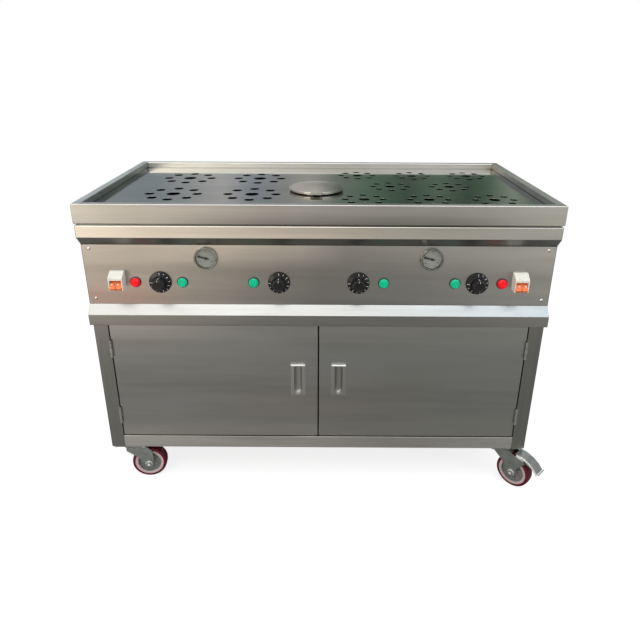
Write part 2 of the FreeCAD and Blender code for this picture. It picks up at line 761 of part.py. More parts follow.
def makeControlPanel():
    body = makeBody("control_panel")
    front = "Derived.panelFront"
    back = "Derived.panelBack"
    half = "Derived.innerHalf - Sizes.seatGap"
    add(body, "sheet", "XZ", front, back, rectangle(
        f"-({half})", half, "Derived.kneeBottom + Sizes.seatGap", "Derived.kneeTop - Sizes.seatGap"))
    row = "Derived.controlRowHeight"
    knobHoles = []
    lampHoles = []
    gaugeHoles = []
    screwHoles = []
    windows = []
    nose = "Sizes.breakerWidth / 2 + Sizes.holeClearance"
    rise = "Sizes.breakerNoseHeight / 2 + Sizes.holeClearance"
    for side in ("-", ""):
        for place in ("outerKnobX", "innerKnobX"):
            knobHoles.append(circle(f"{side}Derived.{place}", row, "Derived.bushHole"))
        lampHoles += [circle(f"{side}Derived.{place}", row,
            "Sizes.lampBarrelRadius + Sizes.holeClearance")
                      for place in ("outerGreenX", "innerGreenX", "redLampX")]
        gaugeHoles.append(circle(f"{side}Derived.gaugeX", "Derived.gaugeRowHeight", "Derived.gaugeHole"))
        screwHoles += [circle(f"{side}Derived.panelScrewX", level, "Derived.screwHole")
                       for level in ("Derived.upperScrewHeight", "Derived.lowerScrewHeight")]
        windows.append(rectangle(
            f"{side}Derived.breakerX - ({nose})", f"{side}Derived.breakerX + {nose}",
            f"Derived.breakerHeight - ({rise})", f"Derived.breakerHeight + {rise}"))
    through = (f"{front} - 1", f"{back} + 1")
    cut(body, "knobHoles", "XZ", *through, *knobHoles)
    cut(body, "lampHoles", "XZ", *through, *lampHoles)
    cut(body, "gaugeHoles", "XZ", *through, *gaugeHoles)
    cut(body, "screwHoles", "XZ", *through, *screwHoles)
    cut(body, "breakerWindows", "XZ", *through, *windows)
    keep(body)


def makeHousing():
    """End plates with a tongue that closes the end of the bar, and the plain back sheet."""
    front = "Derived.bodyFront"
    right = makeBody("rightEndPlate")
    add(right, "plate", "YZ", "Derived.innerHalf", "Derived.bodyHalf", polygon([
        (front, "Derived.bandTop"),
        (front, "Derived.bandBottom"),
        ("Derived.panelFront", "Derived.panelTop"),
        ("Derived.panelFront", "Derived.panelBottom"),
        (front, "Derived.barTop"),
        (front, "Derived.barBottom"),
        ("Derived.cabinetFront - Sizes.seatGap", "Derived.barBottom"),
        ("Derived.cabinetFront - Sizes.seatGap", "Derived.topRailTop"),
        ("Derived.bodyBack", "Derived.topRailTop"),
        ("Derived.bodyBack", "Derived.bandTop"),
    ]))
    inner = "Derived.innerHalf"
    add(right, "flange", "XY", "Derived.bandTop - Sizes.sheetThickness", "Derived.bandTop", rectangle(
        f"{inner} - Sizes.flangeWidth", inner,
        f"{front} + Sizes.flangeWidth + 1", "Derived.bodyBack - Sizes.flangeWidth - 3"))
    group("upper_ends", [mirror(right, "leftEndPlate"), right])
    back = makeBody("upper_back")
    add(back, "sheet", "YZ", f"-{inner}", inner, foldedSheet([
        ("Derived.bodyBack", "Derived.topRailTop"),
        ("Derived.bodyBack", "Derived.bandTop"),
        ("Derived.bodyBack - Sizes.flangeWidth", "Derived.bandTop"),
    ]))
    cut(back, "glandHole", "XZ", "Derived.bodyBack - 5", "Derived.bodyBack + 5",
        circle("-Derived.glandX", "Derived.glandHeight", "Derived.glandHole"))
    keep(back)


def makeTube(name, plane, start, end, low, high, near, far):
    """A square tube along the plane's axis between two levels."""
    body = makeBody(name)
    wall = "Sizes.tubeWall"
    add(body, "tube", plane, start, end, rectangle(low, high, near, far),
        rectangle(f"{low} + {wall}", f"{high} - {wall}", f"{near} + {wall}", f"{far} - {wall}"))
    return body


def makeFrame():
    left = "Derived.postInner"
    right = "Derived.bodyHalf"
    front = ("Derived.cabinetFront", "Derived.postFrontInner")
    back = ("Derived.postBackInner", "Derived.bodyBack")
    low = ("Sizes.cabinetBase", "Derived.railTop")
    high = ("Derived.barBottom", "Derived.topRailTop")
    posts = []
    for name, depth in (("front", front), ("back", back)):
        post = makeTube(f"{name}RightPost", "XY", low[0], high[1], left, right, *depth)
        posts += [post, mirror(post, f"{name}LeftPost")]
    group("corner_posts", posts)
    rails = []
    for level, heights in (("lower", low), ("upper", high)):
        for name, depth in (("Front", front), ("Back", back)):
            rails.append(makeTube(f"{level}{name}Rail", "YZ", f"-{left}", left, *depth, *heights))
        side = makeTube(f"{level}RightRail", "XZ", front[1], back[0], left, right, *heights)
        rails += [side, mirror(side, f"{level}LeftRail")]
    group("frame_rails", rails)


def makeCabinetPanels():
    gap = "Sizes.seatGap"
    sheet = "Sizes.sheetThickness"
    floor = makeBody("cabinet_floor")
    edge = f"Derived.postInner - {gap}"
    add(floor, "sheet", "XY", "Derived.railTop", f"Derived.railTop + {sheet}", rectangle(
        f"-({edge})", edge, "Derived.doorBack + 1", "Derived.postBackInner + Sizes.flangeWidth"))
    cut(floor, "hoseHoles", "XY", "Derived.railTop - 1", f"Derived.railTop + {sheet} + 1",
        circle("-Derived.halfCentre", "Sizes.drainDepth", "Sizes.hoseHoleRadius"),
        circle("Derived.halfCentre", "Sizes.drainDepth", "Sizes.hoseHoleRadius"))
    keep(floor)
    ceiling = makeBody("cabinet_ceiling")
    edge = f"Derived.innerHalf - {gap}"
    add(ceiling, "sheet", "XY", "Derived.topRailTop", f"Derived.topRailTop + {sheet}", rectangle(
        f"-({edge})", edge, "Derived.cabinetFront", f"Derived.bodyBack - {sheet} - {gap}"))
    drain = "Sizes.drainRadius + 2"
    cut(ceiling, "drainHoles", "XY", "Derived.topRailTop - 1", f"Derived.topRailTop + {sheet} + 1",
        circle("-Derived.halfCentre", "Sizes.drainDepth", drain),
        circle("Derived.halfCentre", "Sizes.drainDepth", drain))
    keep(ceiling)
    heights = (f"Derived.railTop + {gap}", f"Derived.barBottom - {gap}")
    back = makeBody("cabinet_back")
    edge = f"Derived.postInner - {gap}"
    add(back, "sheet", "XZ", f"Derived.bodyBack - 1 - {sheet}", "Derived.bodyBack - 1",
        rectangle(f"-({edge})", edge, *heights))
    keep(back)
    side = makeBody("rightSidePanel")
    add(side, "sheet", "YZ", f"Derived.bodyHalf - 1 - {sheet}", "Derived.bodyHalf - 1", rectangle(
        f"Derived.postFrontInner + {gap}", f"Derived.postBackInner - {gap}", *heights))
    group("cabinet_sides", [mirror(side, "leftSidePanel"), side])


makeRimFrame()
makeDeckPlate()
makeLid()
makeFascias()
makeControlPanel()
makeHousing()
makeFrame()
makeCabinetPanels()


def makeRightDoor():
    """The right door's pieces; the left door mirrors them."""
    front = "Derived.cabinetFront"
    back = "Derived.doorBack"
    sheet = "Sizes.sheetThickness"
    outer = ("Derived.doorInnerEdge", "Derived.doorOuterEdge", "Derived.doorBottom", "Derived.doorTop")
    trough = "Sizes.pullTroughWidth / 2"
    topLevel = "Derived.pullCentreHeight + Sizes.pullHeight / 2"
    lowLevel = "Derived.pullCentreHeight - Sizes.pullHeight / 2"
    tubTop = f"{topLevel} - Sizes.pullTopMargin"
    tubLow = f"{lowLevel} + Sizes.pullLowMargin"
    tubWall = "Sizes.pullWall"
    hole = f"({tubWall} + Sizes.pullHoleClearance)"
    margin = "Sizes.cutMargin"
    skin = makeBody("rightDoorSkin")
    add(skin, "pan", "XZ", front, back, rectangle(*outer))
    cut(skin, "hollow", "XZ", f"{front} + {sheet}", f"{back} + 1", rectangle(
        f"{outer[0]} + {sheet}", f"{outer[1]} - {sheet}", f"{outer[2]} + {sheet}",
            f"{outer[3]} - {sheet}"))
    cut(skin, "pullHole", "XZ", f"{front} - 1", f"{front} + {sheet} + 1", rectangle(
        f"Derived.pullX - {trough} - {hole}", f"Derived.pullX + {trough} + {hole}",
        f"{tubLow} - {hole}", f"{tubTop} + {hole}"))
    roundEdges(skin, "panFolds", 2, [(outer[0], front), (outer[1], front)], "Sizes.panFoldRadius")
    gap = f"({sheet} + Sizes.seatGap)"
    liner = makeBody("rightDoorLiner")
    add(liner, "sheet", "XZ", f"{back} - {sheet}", back, rectangle(
        f"{outer[0]} + {gap}", f"{outer[1]} - {gap}", f"{outer[2]} + {gap}", f"{outer[3]} - {gap}"))
    pull = makeBody("rightDoorPull")
    half = "Sizes.pullWidth / 2"
    face = f"{front} - Sizes.pullProud"
    add(pull, "plate", "XZ", face, front, rectangle(
        f"Derived.pullX - {half}", f"Derived.pullX + {half}", lowLevel, topLevel))
    add(pull, "tub", "XZ", front, f"{front} + Sizes.pullTroughDepth", rectangle(
        f"Derived.pullX - {trough} - {tubWall}", f"Derived.pullX + {trough} + {tubWall}",
        f"{tubLow} - {tubWall}", f"{tubTop} + {tubWall}"))
    add(pull, "hood", "XZ", f"{face} - Sizes.hoodReach", face, rectangle(
        f"Derived.pullX - {half}", f"Derived.pullX + {half}", f"{topLevel} - Sizes.hoodThickness",
            topLevel))
    roundEdges(pull, "hoodEdge", 0, [(f"{face} - Sizes.hoodReach", topLevel)], "Sizes.hoodFold")
    bottom = f"{front} + Sizes.pullTroughDepth - {tubWall}"
    cut(pull, "trough", "XZ", f"{face} - {margin}", bottom, rectangle(
        f"Derived.pullX - {trough}", f"Derived.pullX + {trough}", f"{tubLow} + {trough}", tubTop))
    cut(pull, "troughEnd", "XZ", f"{face} - {margin}", bottom, circle(
        "Derived.pullX", f"{tubLow} + {trough}", trough))
    return skin, liner, pull


def makeHingeLeaf(name, height, onDoor):
    """A leaf in the gap between door and post, with its share of five knuckles round the pin."""
    body = makeBody(name)
    sign = "-" if onDoor else ""
    thickness = "Sizes.hingeLeafThickness"
    near = f"{sign}(Sizes.doorSideGap / 2 - {thickness})"
    far = f"{sign}(Sizes.doorSideGap / 2)"
    left, right = (far, near) if onDoor else (near, far)
    knuckle = "Sizes.hingeLength / 5"
    clear = "Sizes.hingeKnuckleRadius + Sizes.knuckleClearance"
    add(body, "leaf", "XY", "-Sizes.hingeLength / 2", "Sizes.hingeLength / 2", rectangle(
        left, right, clear, f"{clear} + Sizes.hingeLeafWidth"))
    for step in (-1, 1) if onDoor else (-2, 0, 2):
        low = f"{knuckle} * {step} - {knuckle} / 2 + Sizes.knuckleEndGap"
        high = f"{knuckle} * {step} + {knuckle} / 2 - Sizes.knuckleEndGap"
        add(body, f"strap{step + 3}", "XY", low, high, rectangle(
            left, right, "Sizes.hingeKnuckleRadius * 0.7", f"{clear} + 1"))
        add(body, f"knuckle{step + 3}", "XY", low, high, circle("0", "0", "Sizes.hingeKnuckleRadius"))
    cut(body, "pinBore", "XY", "-Sizes.hingeLength / 2 - 1", "Sizes.hingeLength / 2 + 1", circle(
        "0", "0", "Sizes.hingePinRadius + Sizes.runningFit"))
    return place(body, "Derived.hingeAxisX", "Derived.hingeAxisY", height)


def makeHinges():
    doorLeaves = []
    frameLeaves = []
    pins = []
    for name in ("Upper", "Lower"):
        height = f"Derived.hinge{name}Height"
        doorLeaves.append(makeHingeLeaf(f"doorLeaf{name}", height, True))
        frameLeaf = makeHingeLeaf(f"frameLeaf{name}", height, False)
        frameLeaves += [frameLeaf, mirror(frameLeaf, f"leftFrameLeaf{name}")]
        pin = makeBody(f"hingePin{name}")
        reach = "Sizes.hingeLength / 2"
        turn(pin, "pin", polygon([
            ("0", f"-{reach} - Sizes.pinHeadThickness"),
            ("Sizes.pinHeadRadius", f"-{reach} - Sizes.pinHeadThickness"),
            ("Sizes.pinHeadRadius", f"-{reach}"),
            ("Sizes.hingePinRadius", f"-{reach}"),
            ("Sizes.hingePinRadius", reach),
            ("Sizes.pinHeadRadius", reach),
            ("Sizes.pinHeadRadius", f"{reach} + Sizes.pinHeadThickness"),
            ("0", f"{reach} + Sizes.pinHeadThickness"),
        ]))
        place(pin, "Derived.hingeAxisX", "Derived.hingeAxisY", height)
        pins += [pin, mirror(pin, f"leftHingePin{name}")]
    group("frame_hinge_leaves", frameLeaves)
    group("hinge_pins", pins)
    return doorLeaves


def makeDoors():
    skin, liner, pull = makeRightDoor()
    leaves = makeHinges()
    group("right_door_skin", [skin])
    group("right_door_liner", [liner])
    group("right_door_pull", [pull])
    group("right_hinge_leaves", leaves)
    group("left_door_skin", [mirror(skin, "leftDoorSkin")])
    group("left_door_liner", [mirror(liner, "leftDoorLiner")])
    group("left_door_pull", [mirror(pull, "leftDoorPull")])
    group("left_hinge_leaves", [mirror(leaf, f"left{leaf.Name}") for leaf in leaves])
    catch = makeBody("rightCatch")
    low = "Derived.barBottom - Sizes.catchHeight"
    left = "Derived.doorInnerEdge + Sizes.catchFromEdge"
    right = f"{left} + Sizes.catchWidth"
    near = "Derived.doorBack + Sizes.seatGap"
    add(catch, "case", "XY", low, "Derived.barBottom", rectangle(left, right, near,
        f"{near} + Sizes.catchDepth"))
    roundEdges(catch, "caseEdges", 1, [(left, low), (right, low)], "Sizes.catchCorner")
    group("door_catches", [mirror(catch, "leftCatch"), catch])


controlPlaces = {
    "knob_outer_left": ("-Derived.outerKnobX", "Derived.controlRowHeight"),
    "knob_inner_left": ("-Derived.innerKnobX", "Derived.controlRowHeight"),
    "knob_inner_right": ("Derived.innerKnobX", "Derived.controlRowHeight"),
    "knob_outer_right": ("Derived.outerKnobX", "Derived.controlRowHeight"),
}


def makeKnobs():
    """Fluted knobs on the spindles of the thermostats behind the panel."""
    thermostats = []
    bushReach = "Sizes.bushReach"
    for name, (across, height) in controlPlaces.items():
        knob = makeBody(name)
        low = f"{bushReach} + Sizes.knobSkirtGap"
        rim = f"{low} + Sizes.knobSkirtThickness"
        crown = f"{rim} + Sizes.knobGripHeight"
        turn(knob, "knobTurned", polygon([
            ("0", low),
            ("Sizes.knobSkirtRadius", low),
            ("Sizes.knobSkirtRadius", f"{rim} - Sizes.knobSkirtBevel"),
            ("Sizes.knobSkirtRadius - Sizes.knobCrownBevel", rim),
            ("Sizes.knobGripRadius", rim),
            ("Sizes.knobGripRadius - Sizes.knobDraft", f"{crown} - Sizes.knobCrownBevel"),
            ("Sizes.knobGripRadius - Sizes.knobDraft - Sizes.knobCrownBevel", crown),
            ("0", crown),
        ]))
        flute = cut(knob, "flute", "XY", rim, f"{crown} + Sizes.cutMargin", circle(
            "Sizes.knobGripRadius + Sizes.fluteOffset", "0", "Sizes.fluteRadius"))
        flutes = knob.newObject("PartDesign::PolarPattern", "flutes")
        flutes.Originals = [flute]
        flutes.Axis = (flute.Profile[0], ["N_Axis"])
        flutes.Angle = 360
        flutes.Occurrences = 12
        knob.Tip = flutes
        add(knob, "spindle", "XY", "-Sizes.spindleDepth", low, circle("0", "0", "Sizes.shaftRadius"))
        nodes[name] = placeOnPanel(knob, across, height)
        body = makeBody(f"thermostat{name[4:].title().replace('_', '')}")
        sheet = "Sizes.sheetThickness"
        side = "Sizes.thermostatWidth / 2"
        rise = "Sizes.thermostatHeight / 2"
        add(body, "case", "XY", f"-{sheet} - Sizes.thermostatLength", f"-{sheet}", rectangle(
            f"-{side}", side, f"-{rise}", rise))
        roundEdges(body, "caseEdges", 2, [
            (f"-{side}", f"-{rise}"), (side, f"-{rise}"), (side, rise), (f"-{side}", rise)],
                "Sizes.thermostatCorner")
        add(body, "bush", "XY", f"-{sheet}", bushReach, circle("0", "0", "Sizes.bushRadius"))
        cut(body, "bore", "XY", "-Sizes.spindleDepth - Sizes.pullWall",
            f"{bushReach} + Sizes.cutMargin", circle(
            "0", "0", "Sizes.shaftRadius + Sizes.runningFit"))
        thermostats.append(placeOnPanel(body, across, height))
    group("thermostats", thermostats)


def makeLamps():
    bodies = []
    lenses = {"red": [], "green": []}
    spots = [("red", "redLampX"), ("green", "outerGreenX"), ("green", "innerGreenX")]
    sheet = "Sizes.sheetThickness"
    for side, sign in (("Left", "-"), ("Right", "")):
        for colour, spot in spots:
            across = f"{sign}Derived.{spot}"
            body = makeBody(f"lamp{spot[:-1].title()}{side}")
            turn(body, "bezel", polygon([
                ("0", "0"),
                ("Sizes.lampRadius", "0"),
                ("Sizes.lampRadius", "Sizes.lampBezelHeight - Sizes.lampBezelBevel"),
                ("Sizes.lampRadius - Sizes.lampBezelBevel", "Sizes.lampBezelHeight"),
                ("0", "Sizes.lampBezelHeight"),
            ]))
            add(body, "barrel", "XY", "-Sizes.lampBarrelLength", "0", circle("0", "0",
                "Sizes.lampBarrelRadius"))
            add(body, "nut", "XY", f"-{sheet} - Sizes.lampNutHeight", f"-{sheet}", polygon([
                (f"Sizes.lampNutRadius * cos({angle})", f"Sizes.lampNutRadius * sin({angle})")
                for angle in range(0, 360, 60)]))
            end = "-Sizes.lampBarrelLength"
            thick = "Sizes.lampTabThickness / 2"
            for number, turned in enumerate(("-", "")):
                middle = f"{turned}Sizes.lampTabSpread / 2"
                add(body, f"tab{number}", "XY", f"{end} - Sizes.lampTabLength", end, rectangle(
                    f"{middle} - {thick}", f"{middle} + {thick}", "-Sizes.lampTabWidth / 2",
                        "Sizes.lampTabWidth / 2"))
            bodies.append(placeOnPanel(body, across, "Derived.controlRowHeight"))
            lens = makeBody(f"lens{spot[:-1].title()}{side}")
            base = "Sizes.lampBezelHeight"
            turn(lens, "dome", polygon([
                ("0", base),
                ("Sizes.lampLensRadius", base),
                ("Sizes.lampLensRadius", f"{base} + Sizes.lampLensHeight * 0.35"),
                ("Sizes.lampLensRadius * 0.93", f"{base} + Sizes.lampLensHeight * 0.6"),
                ("Sizes.lampLensRadius * 0.74", f"{base} + Sizes.lampLensHeight * 0.82"),
                ("Sizes.lampLensRadius * 0.4", f"{base} + Sizes.lampLensHeight * 0.96"),
                ("0", f"{base} + Sizes.lampLensHeight"),
            ]))
            lenses[colour].append(placeOnPanel(lens, across, "Derived.controlRowHeight"))
    group("lamp_bodies", bodies)
    group("red_lenses", lenses["red"])
    group("green_lenses", lenses["green"])


def makeGauges():
    """Dial thermometers: stepped case, dial, needle on a spindle, and a glass let into the bezel."""
    cases = []
    dials = []
    glasses = []
    depth = "Sizes.gaugeBezelDepth"
    bore = "Sizes.gaugeRadius - Sizes.gaugeBezelWidth"
    bezel = "Sizes.gaugeBezelBevel"
    ledge = f"{bore} - Sizes.glassLedge"
    for side, sign in (("left", "-"), ("right", "")):
        spot = (f"{sign}Derived.gaugeX", "Derived.gaugeRowHeight")
        case = makeBody(f"gaugeCase{side.title()}")
        turn(case, "case", polygon([
            ("0", "-Sizes.gaugeCaseDepth"),
            ("Sizes.gaugeBarrelRadius", "-Sizes.gaugeCaseDepth"),
            ("Sizes.gaugeBarrelRadius", "0"),
            ("Sizes.gaugeRadius", "0"),
            ("Sizes.gaugeRadius", f"{depth} - {bezel}"),
            (f"Sizes.gaugeRadius - {bezel} * 0.8", depth),
            (bore, depth),
            (bore, "Sizes.glassSeat"),
            (ledge, "Sizes.glassSeat"),
            (ledge, "Sizes.dialSeat"),
            ("0", "Sizes.dialSeat"),
        ]))
        cut(case, "spindleBore", "XY", "-Sizes.needleSpindleDepth - Sizes.cutMargin",
            "Sizes.dialSeat + Sizes.cutMargin",
            circle("0", "0", "Sizes.needleSpindleRadius + Sizes.runningFit"))
        cases.append(placeOnPanel(case, *spot))
        dial = makeBody(f"gaugeDial{side.title()}")
        add(dial, "disc", "XY", "Sizes.dialSeat", "Sizes.dialSeat + Sizes.dialThickness",
            circle("0", "0", f"{ledge} - 0.2"), circle("0", "0", "Sizes.needleSpindleRadius * 1.4"))
        dials.append(placeOnPanel(dial, *spot))
        glass = makeBody(f"gaugeGlass{side.title()}")
        add(glass, "disc", "XY", "Sizes.glassSeat", "Sizes.glassSeat + Sizes.glassThickness",
            circle("0", "0", f"{bore} - 0.2"))
        glasses.append(placeOnPanel(glass, *spot))
        needle = makeBody(f"needle_{side}")
        tip = "-Sizes.needleReach"
        tail = "Sizes.needleTail"
        wide = "Sizes.needleTailWidth / 2"
        slim = "Sizes.needleTipWidth / 2"
        add(needle, "hub", "XY", "Sizes.needleHubLow", "Sizes.needleHubHigh", circle("0", "0",
            "Sizes.needleHubRadius"))
        add(needle, "pointer", "XY", "Sizes.needleLow", "Sizes.needleHigh", polygon([
            (tip, f"-{slim}"), (tail, f"-{wide}"), (tail, wide), (tip, slim)]))
        add(needle, "spindle", "XY", "-Sizes.needleSpindleDepth", "Sizes.needleHubLow",
            circle("0", "0", "Sizes.needleSpindleRadius"))
        nodes[f"needle_{side}"] = placeOnPanel(needle, *spot)
    group("gauge_cases", cases)
    group("gauge_dials", dials)
    group("gauge_glasses", glasses)


def makeBreakers():
    """Two-pole breakers behind windows in the panel, each with a tied toggle in its nose."""
    bodies = []
    half = "Sizes.breakerWidth / 2"
    rise = "Sizes.breakerNoseHeight / 2"
    reach = "Sizes.breakerNoseReach"
    sheet = "Sizes.sheetThickness"
    pivotY = "-Sizes.togglePivotDrop"
    pivotZ = "Sizes.togglePivotReach"
    slot = "Sizes.toggleSlotHalf"
    slotTop = "Sizes.toggleSlotRise"
    slotFloor = f"{pivotZ} - Sizes.toggleHubRadius - Sizes.toggleHubGap"
    for side, sign in (("left", "-"), ("right", "")):
        spot = (f"{sign}Derived.breakerX", "Derived.breakerHeight")
        body = makeBody(f"breaker{side.title()}")
        add(body, "case", "XY", f"-{sheet} - Sizes.breakerCaseDepth", f"-{sheet}", rectangle(
            f"-{half}", half, "-Sizes.breakerCaseHeight / 2", "Sizes.breakerCaseHeight / 2"))
        add(body, "nose", "YZ", f"-{half}", half, polygon([
            (f"-{rise}", f"-{sheet} - 1"),
            (rise, f"-{sheet} - 1"),
            (rise, f"{reach} * 0.3"),
            (f"{rise} * 0.45", reach),
            (f"-{rise}", reach),
        ]))
        cut(body, "toggleSlot", "YZ", f"-{slot}", slot, polygon([
            (slotTop, f"{reach} + 1"),
            (slotTop, pivotZ),
            (slotTop, slotFloor),
            ("-14", slotFloor),
            (f"-{rise} - 1", f"{pivotZ} - 2"),
            (f"-{rise} - 1", f"{reach} + 1"),
        ]))
        cut(body, "pivotBore", "YZ", f"-{slot} - 1.4", f"{slot} + 1.4", circle(
            pivotY, pivotZ, "Sizes.togglePinRadius + Sizes.runningFit"))
        bodies.append(placeOnPanel(body, *spot))
        toggle = makeBody(f"toggle_{side}")
        span = ("-Sizes.toggleHalf", "Sizes.toggleHalf")
        add(toggle, "hub", "YZ", *span, circle(pivotY, pivotZ, "Sizes.toggleHubRadius"))
        add(toggle, "lever", "YZ", *span, polygon([
            (f"{pivotY} - 4.6", f"{pivotZ} - 5"),
            (f"{pivotY} + 4.8", f"{pivotZ} + 5"),
            (f"{pivotY} - 12", f"{pivotZ} + 19"),
            (f"{pivotY} - 19", f"{pivotZ} + 12"),
        ]))
        roundEdges(toggle, "leverTip", 0, [
            (f"{pivotY} - 12", f"{pivotZ} + 19"), (f"{pivotY} - 19", f"{pivotZ} + 12")],
                "Sizes.toggleTipRound")
        add(toggle, "pivot", "YZ", "-Sizes.togglePinHalf", "Sizes.togglePinHalf",
            circle(pivotY, pivotZ, "Sizes.togglePinRadius"))
        nodes[f"toggle_{side}"] = placeOnPanel(toggle, *spot)
    group("breaker_bodies", bodies)


def makePanelScrews():
    screws = []
    for side, sign in (("Left", "-"), ("Right", "")):
        for level in ("upper", "lower"):
            screw = makeBody(f"{level}Screw{side}")
            radius = "Sizes.screwRadius"
            turn(screw, "screw", polygon([
                ("0", "-7"),
                (radius, "-7"),
                (radius, "0"),
                (f"{radius} * 2.25", "0"),
                (f"{radius} * 2.1", "1.2"),
                (f"{radius} * 1.4", "2.3"),
                ("0", "2.8"),
            ]))
            screws.append(placeOnPanel(screw, f"{sign}Derived.panelScrewX",
                f"Derived.{level}ScrewHeight"))
    group("panel_screws", screws)


makeDoors()
makeKnobs()
makeLamps()
makeGauges()
makeBreakers()
makePanelScrews()


def makeRightTank():
    """An open water tank hung by its flange under the ledge of the rim."""
    body = makeBody("rightTank")
    sheet = "Sizes.sheetThickness"
    top = "Derived.ledgeUnderside"
    low = "Derived.tankBottom"
    half = "Derived.tankWidth / 2"
    left = f"Derived.halfCentre - {half}"
    right = f"Derived.halfCentre + {half}"
    front = "Derived.tankFront"
    back = "Derived.tankBack"
    edge = "Derived.halfDepth - Sizes.rimTopWidth - Sizes.tankFlangeInset"
    corner = "Sizes.tankCornerRadius"
    add(body, "flange", "XY", f"{top} - {sheet}", top, rectangle(
        "1", "Derived.halfWidth - Sizes.rimTopWidth - Sizes.tankFlangeInset", f"-({edge})", edge))
    add(body, "box", "XY", low, f"{top} - {sheet}", roundedRectangle(left, right, front, back, corner))
    cut(body, "hollow", "XY", f"{low} + {sheet}", f"{top} + 1", roundedRectangle(
        f"{left} + {sheet}", f"{right} - {sheet}", f"{front} + {sheet}", f"{back} - {sheet}",
            f"({corner} - {sheet})"))
    cut(body, "drainHole", "XY", f"{low} - 1", f"{low} + {sheet} + 1", circle(
        "Derived.halfCentre", "Sizes.drainDepth", "Sizes.drainBore"))
    legs = []
    for middle in ("Derived.halfCentre - Derived.tankWidth / 4",
        "Derived.halfCentre + Derived.tankWidth / 4"):
        for side in ("-", "+"):
            legs.append(circle(f"{middle} {side} Sizes.elementSpread / 2",
                               f"{low} + Sizes.elementHeight", "Sizes.elementRadius + Sizes.seatGap"))
    cut(body, "elementHoles", "XZ", f"{front} - 1", f"{front} + {sheet} + 1", *legs)
    return body


def makeElement(name, across):
    """A bent tube heater with its two ends through a small flange."""
    body = makeBody(name)
    path = makeSketch(body, "tubePath", "XY", "0")
    spread = value("Sizes.elementSpread") / 2
    reach = value("Sizes.elementLength") - spread
    start = value("Sizes.elementStart")
    path.addGeometry(Part.LineSegment(Vector(-spread, -start, 0), Vector(-spread, reach, 0)))
    middle = Vector(0, reach, 0)
    bend = Part.Circle(middle, Vector(0, 0, 1), spread)
    path.addGeometry(Part.ArcOfCircle(bend, 0, math.pi))
    path.addGeometry(Part.LineSegment(Vector(spread, reach, 0), Vector(spread, -start, 0)))
    path.addConstraint(Sketcher.Constraint("Tangent", 0, 2, 1, 2))
    path.addConstraint(Sketcher.Constraint("Tangent", 1, 1, 2, 1))
    fixDistance(path, "DistanceX", 0, 1, "-Sizes.elementSpread / 2")
    fixDistance(path, "DistanceY", 0, 1, "-Sizes.elementStart")
    fixDistance(path, "DistanceX", 1, 3, "0")
    fixDistance(path, "DistanceY", 1, 3, "Sizes.elementLength - Sizes.elementSpread / 2")
    fixDistance(path, "DistanceY", 2, 2, "-Sizes.elementStart")
    path.addConstraint(Sketcher.Constraint("Vertical", 0))
    path.addConstraint(Sketcher.Constraint("Vertical", 2))
    section = makeSketch(body, "tubeSection", "XZ", "-Sizes.elementStart")
    circle("-Sizes.elementSpread / 2", "0", "Sizes.elementRadius")(section)
    sweep = body.newObject("PartDesign::AdditivePipe", "tube")
    sweep.Profile = section
    sweep.Spine = (path, ["Edge1", "Edge2", "Edge3"])
    half = "Sizes.elementSpread / 2 + Sizes.elementFlangeMargin"
    rise = "Sizes.elementFlangeHalf"
    add(body, "flange", "XZ", "-Sizes.elementFlangeThickness", "0", rectangle(f"-({half})", half,
        f"-{rise}", rise))
    roundEdges(body, "flangeCorners", 1, [
        (f"-({half})", f"-{rise}"), (half, f"-{rise}"), (half, rise), (f"-({half})", rise)],
        "Sizes.elementFlangeCorner")
    add(body, "terminals", "XZ", "-Sizes.terminalReach", "-Sizes.elementStart",
        circle("-Sizes.elementSpread / 2", "0", "Sizes.terminalRadius"),
        circle("Sizes.elementSpread / 2", "0", "Sizes.terminalRadius"))
    return place(body, across, "Derived.tankFront", "Derived.tankBottom + Sizes.elementHeight")


def makeTanks():
    tank = makeRightTank()
    group("water_tanks", [mirror(tank, "leftTank"), tank])
    elements = []
    for name, side in (("innerElement", "-"), ("outerElement", "+")):
        element = makeElement(name, f"Derived.halfCentre {side} Derived.tankWidth / 4")
        elements += [element, mirror(element, f"left{name.title()}")]
    group("heating_elements", elements)


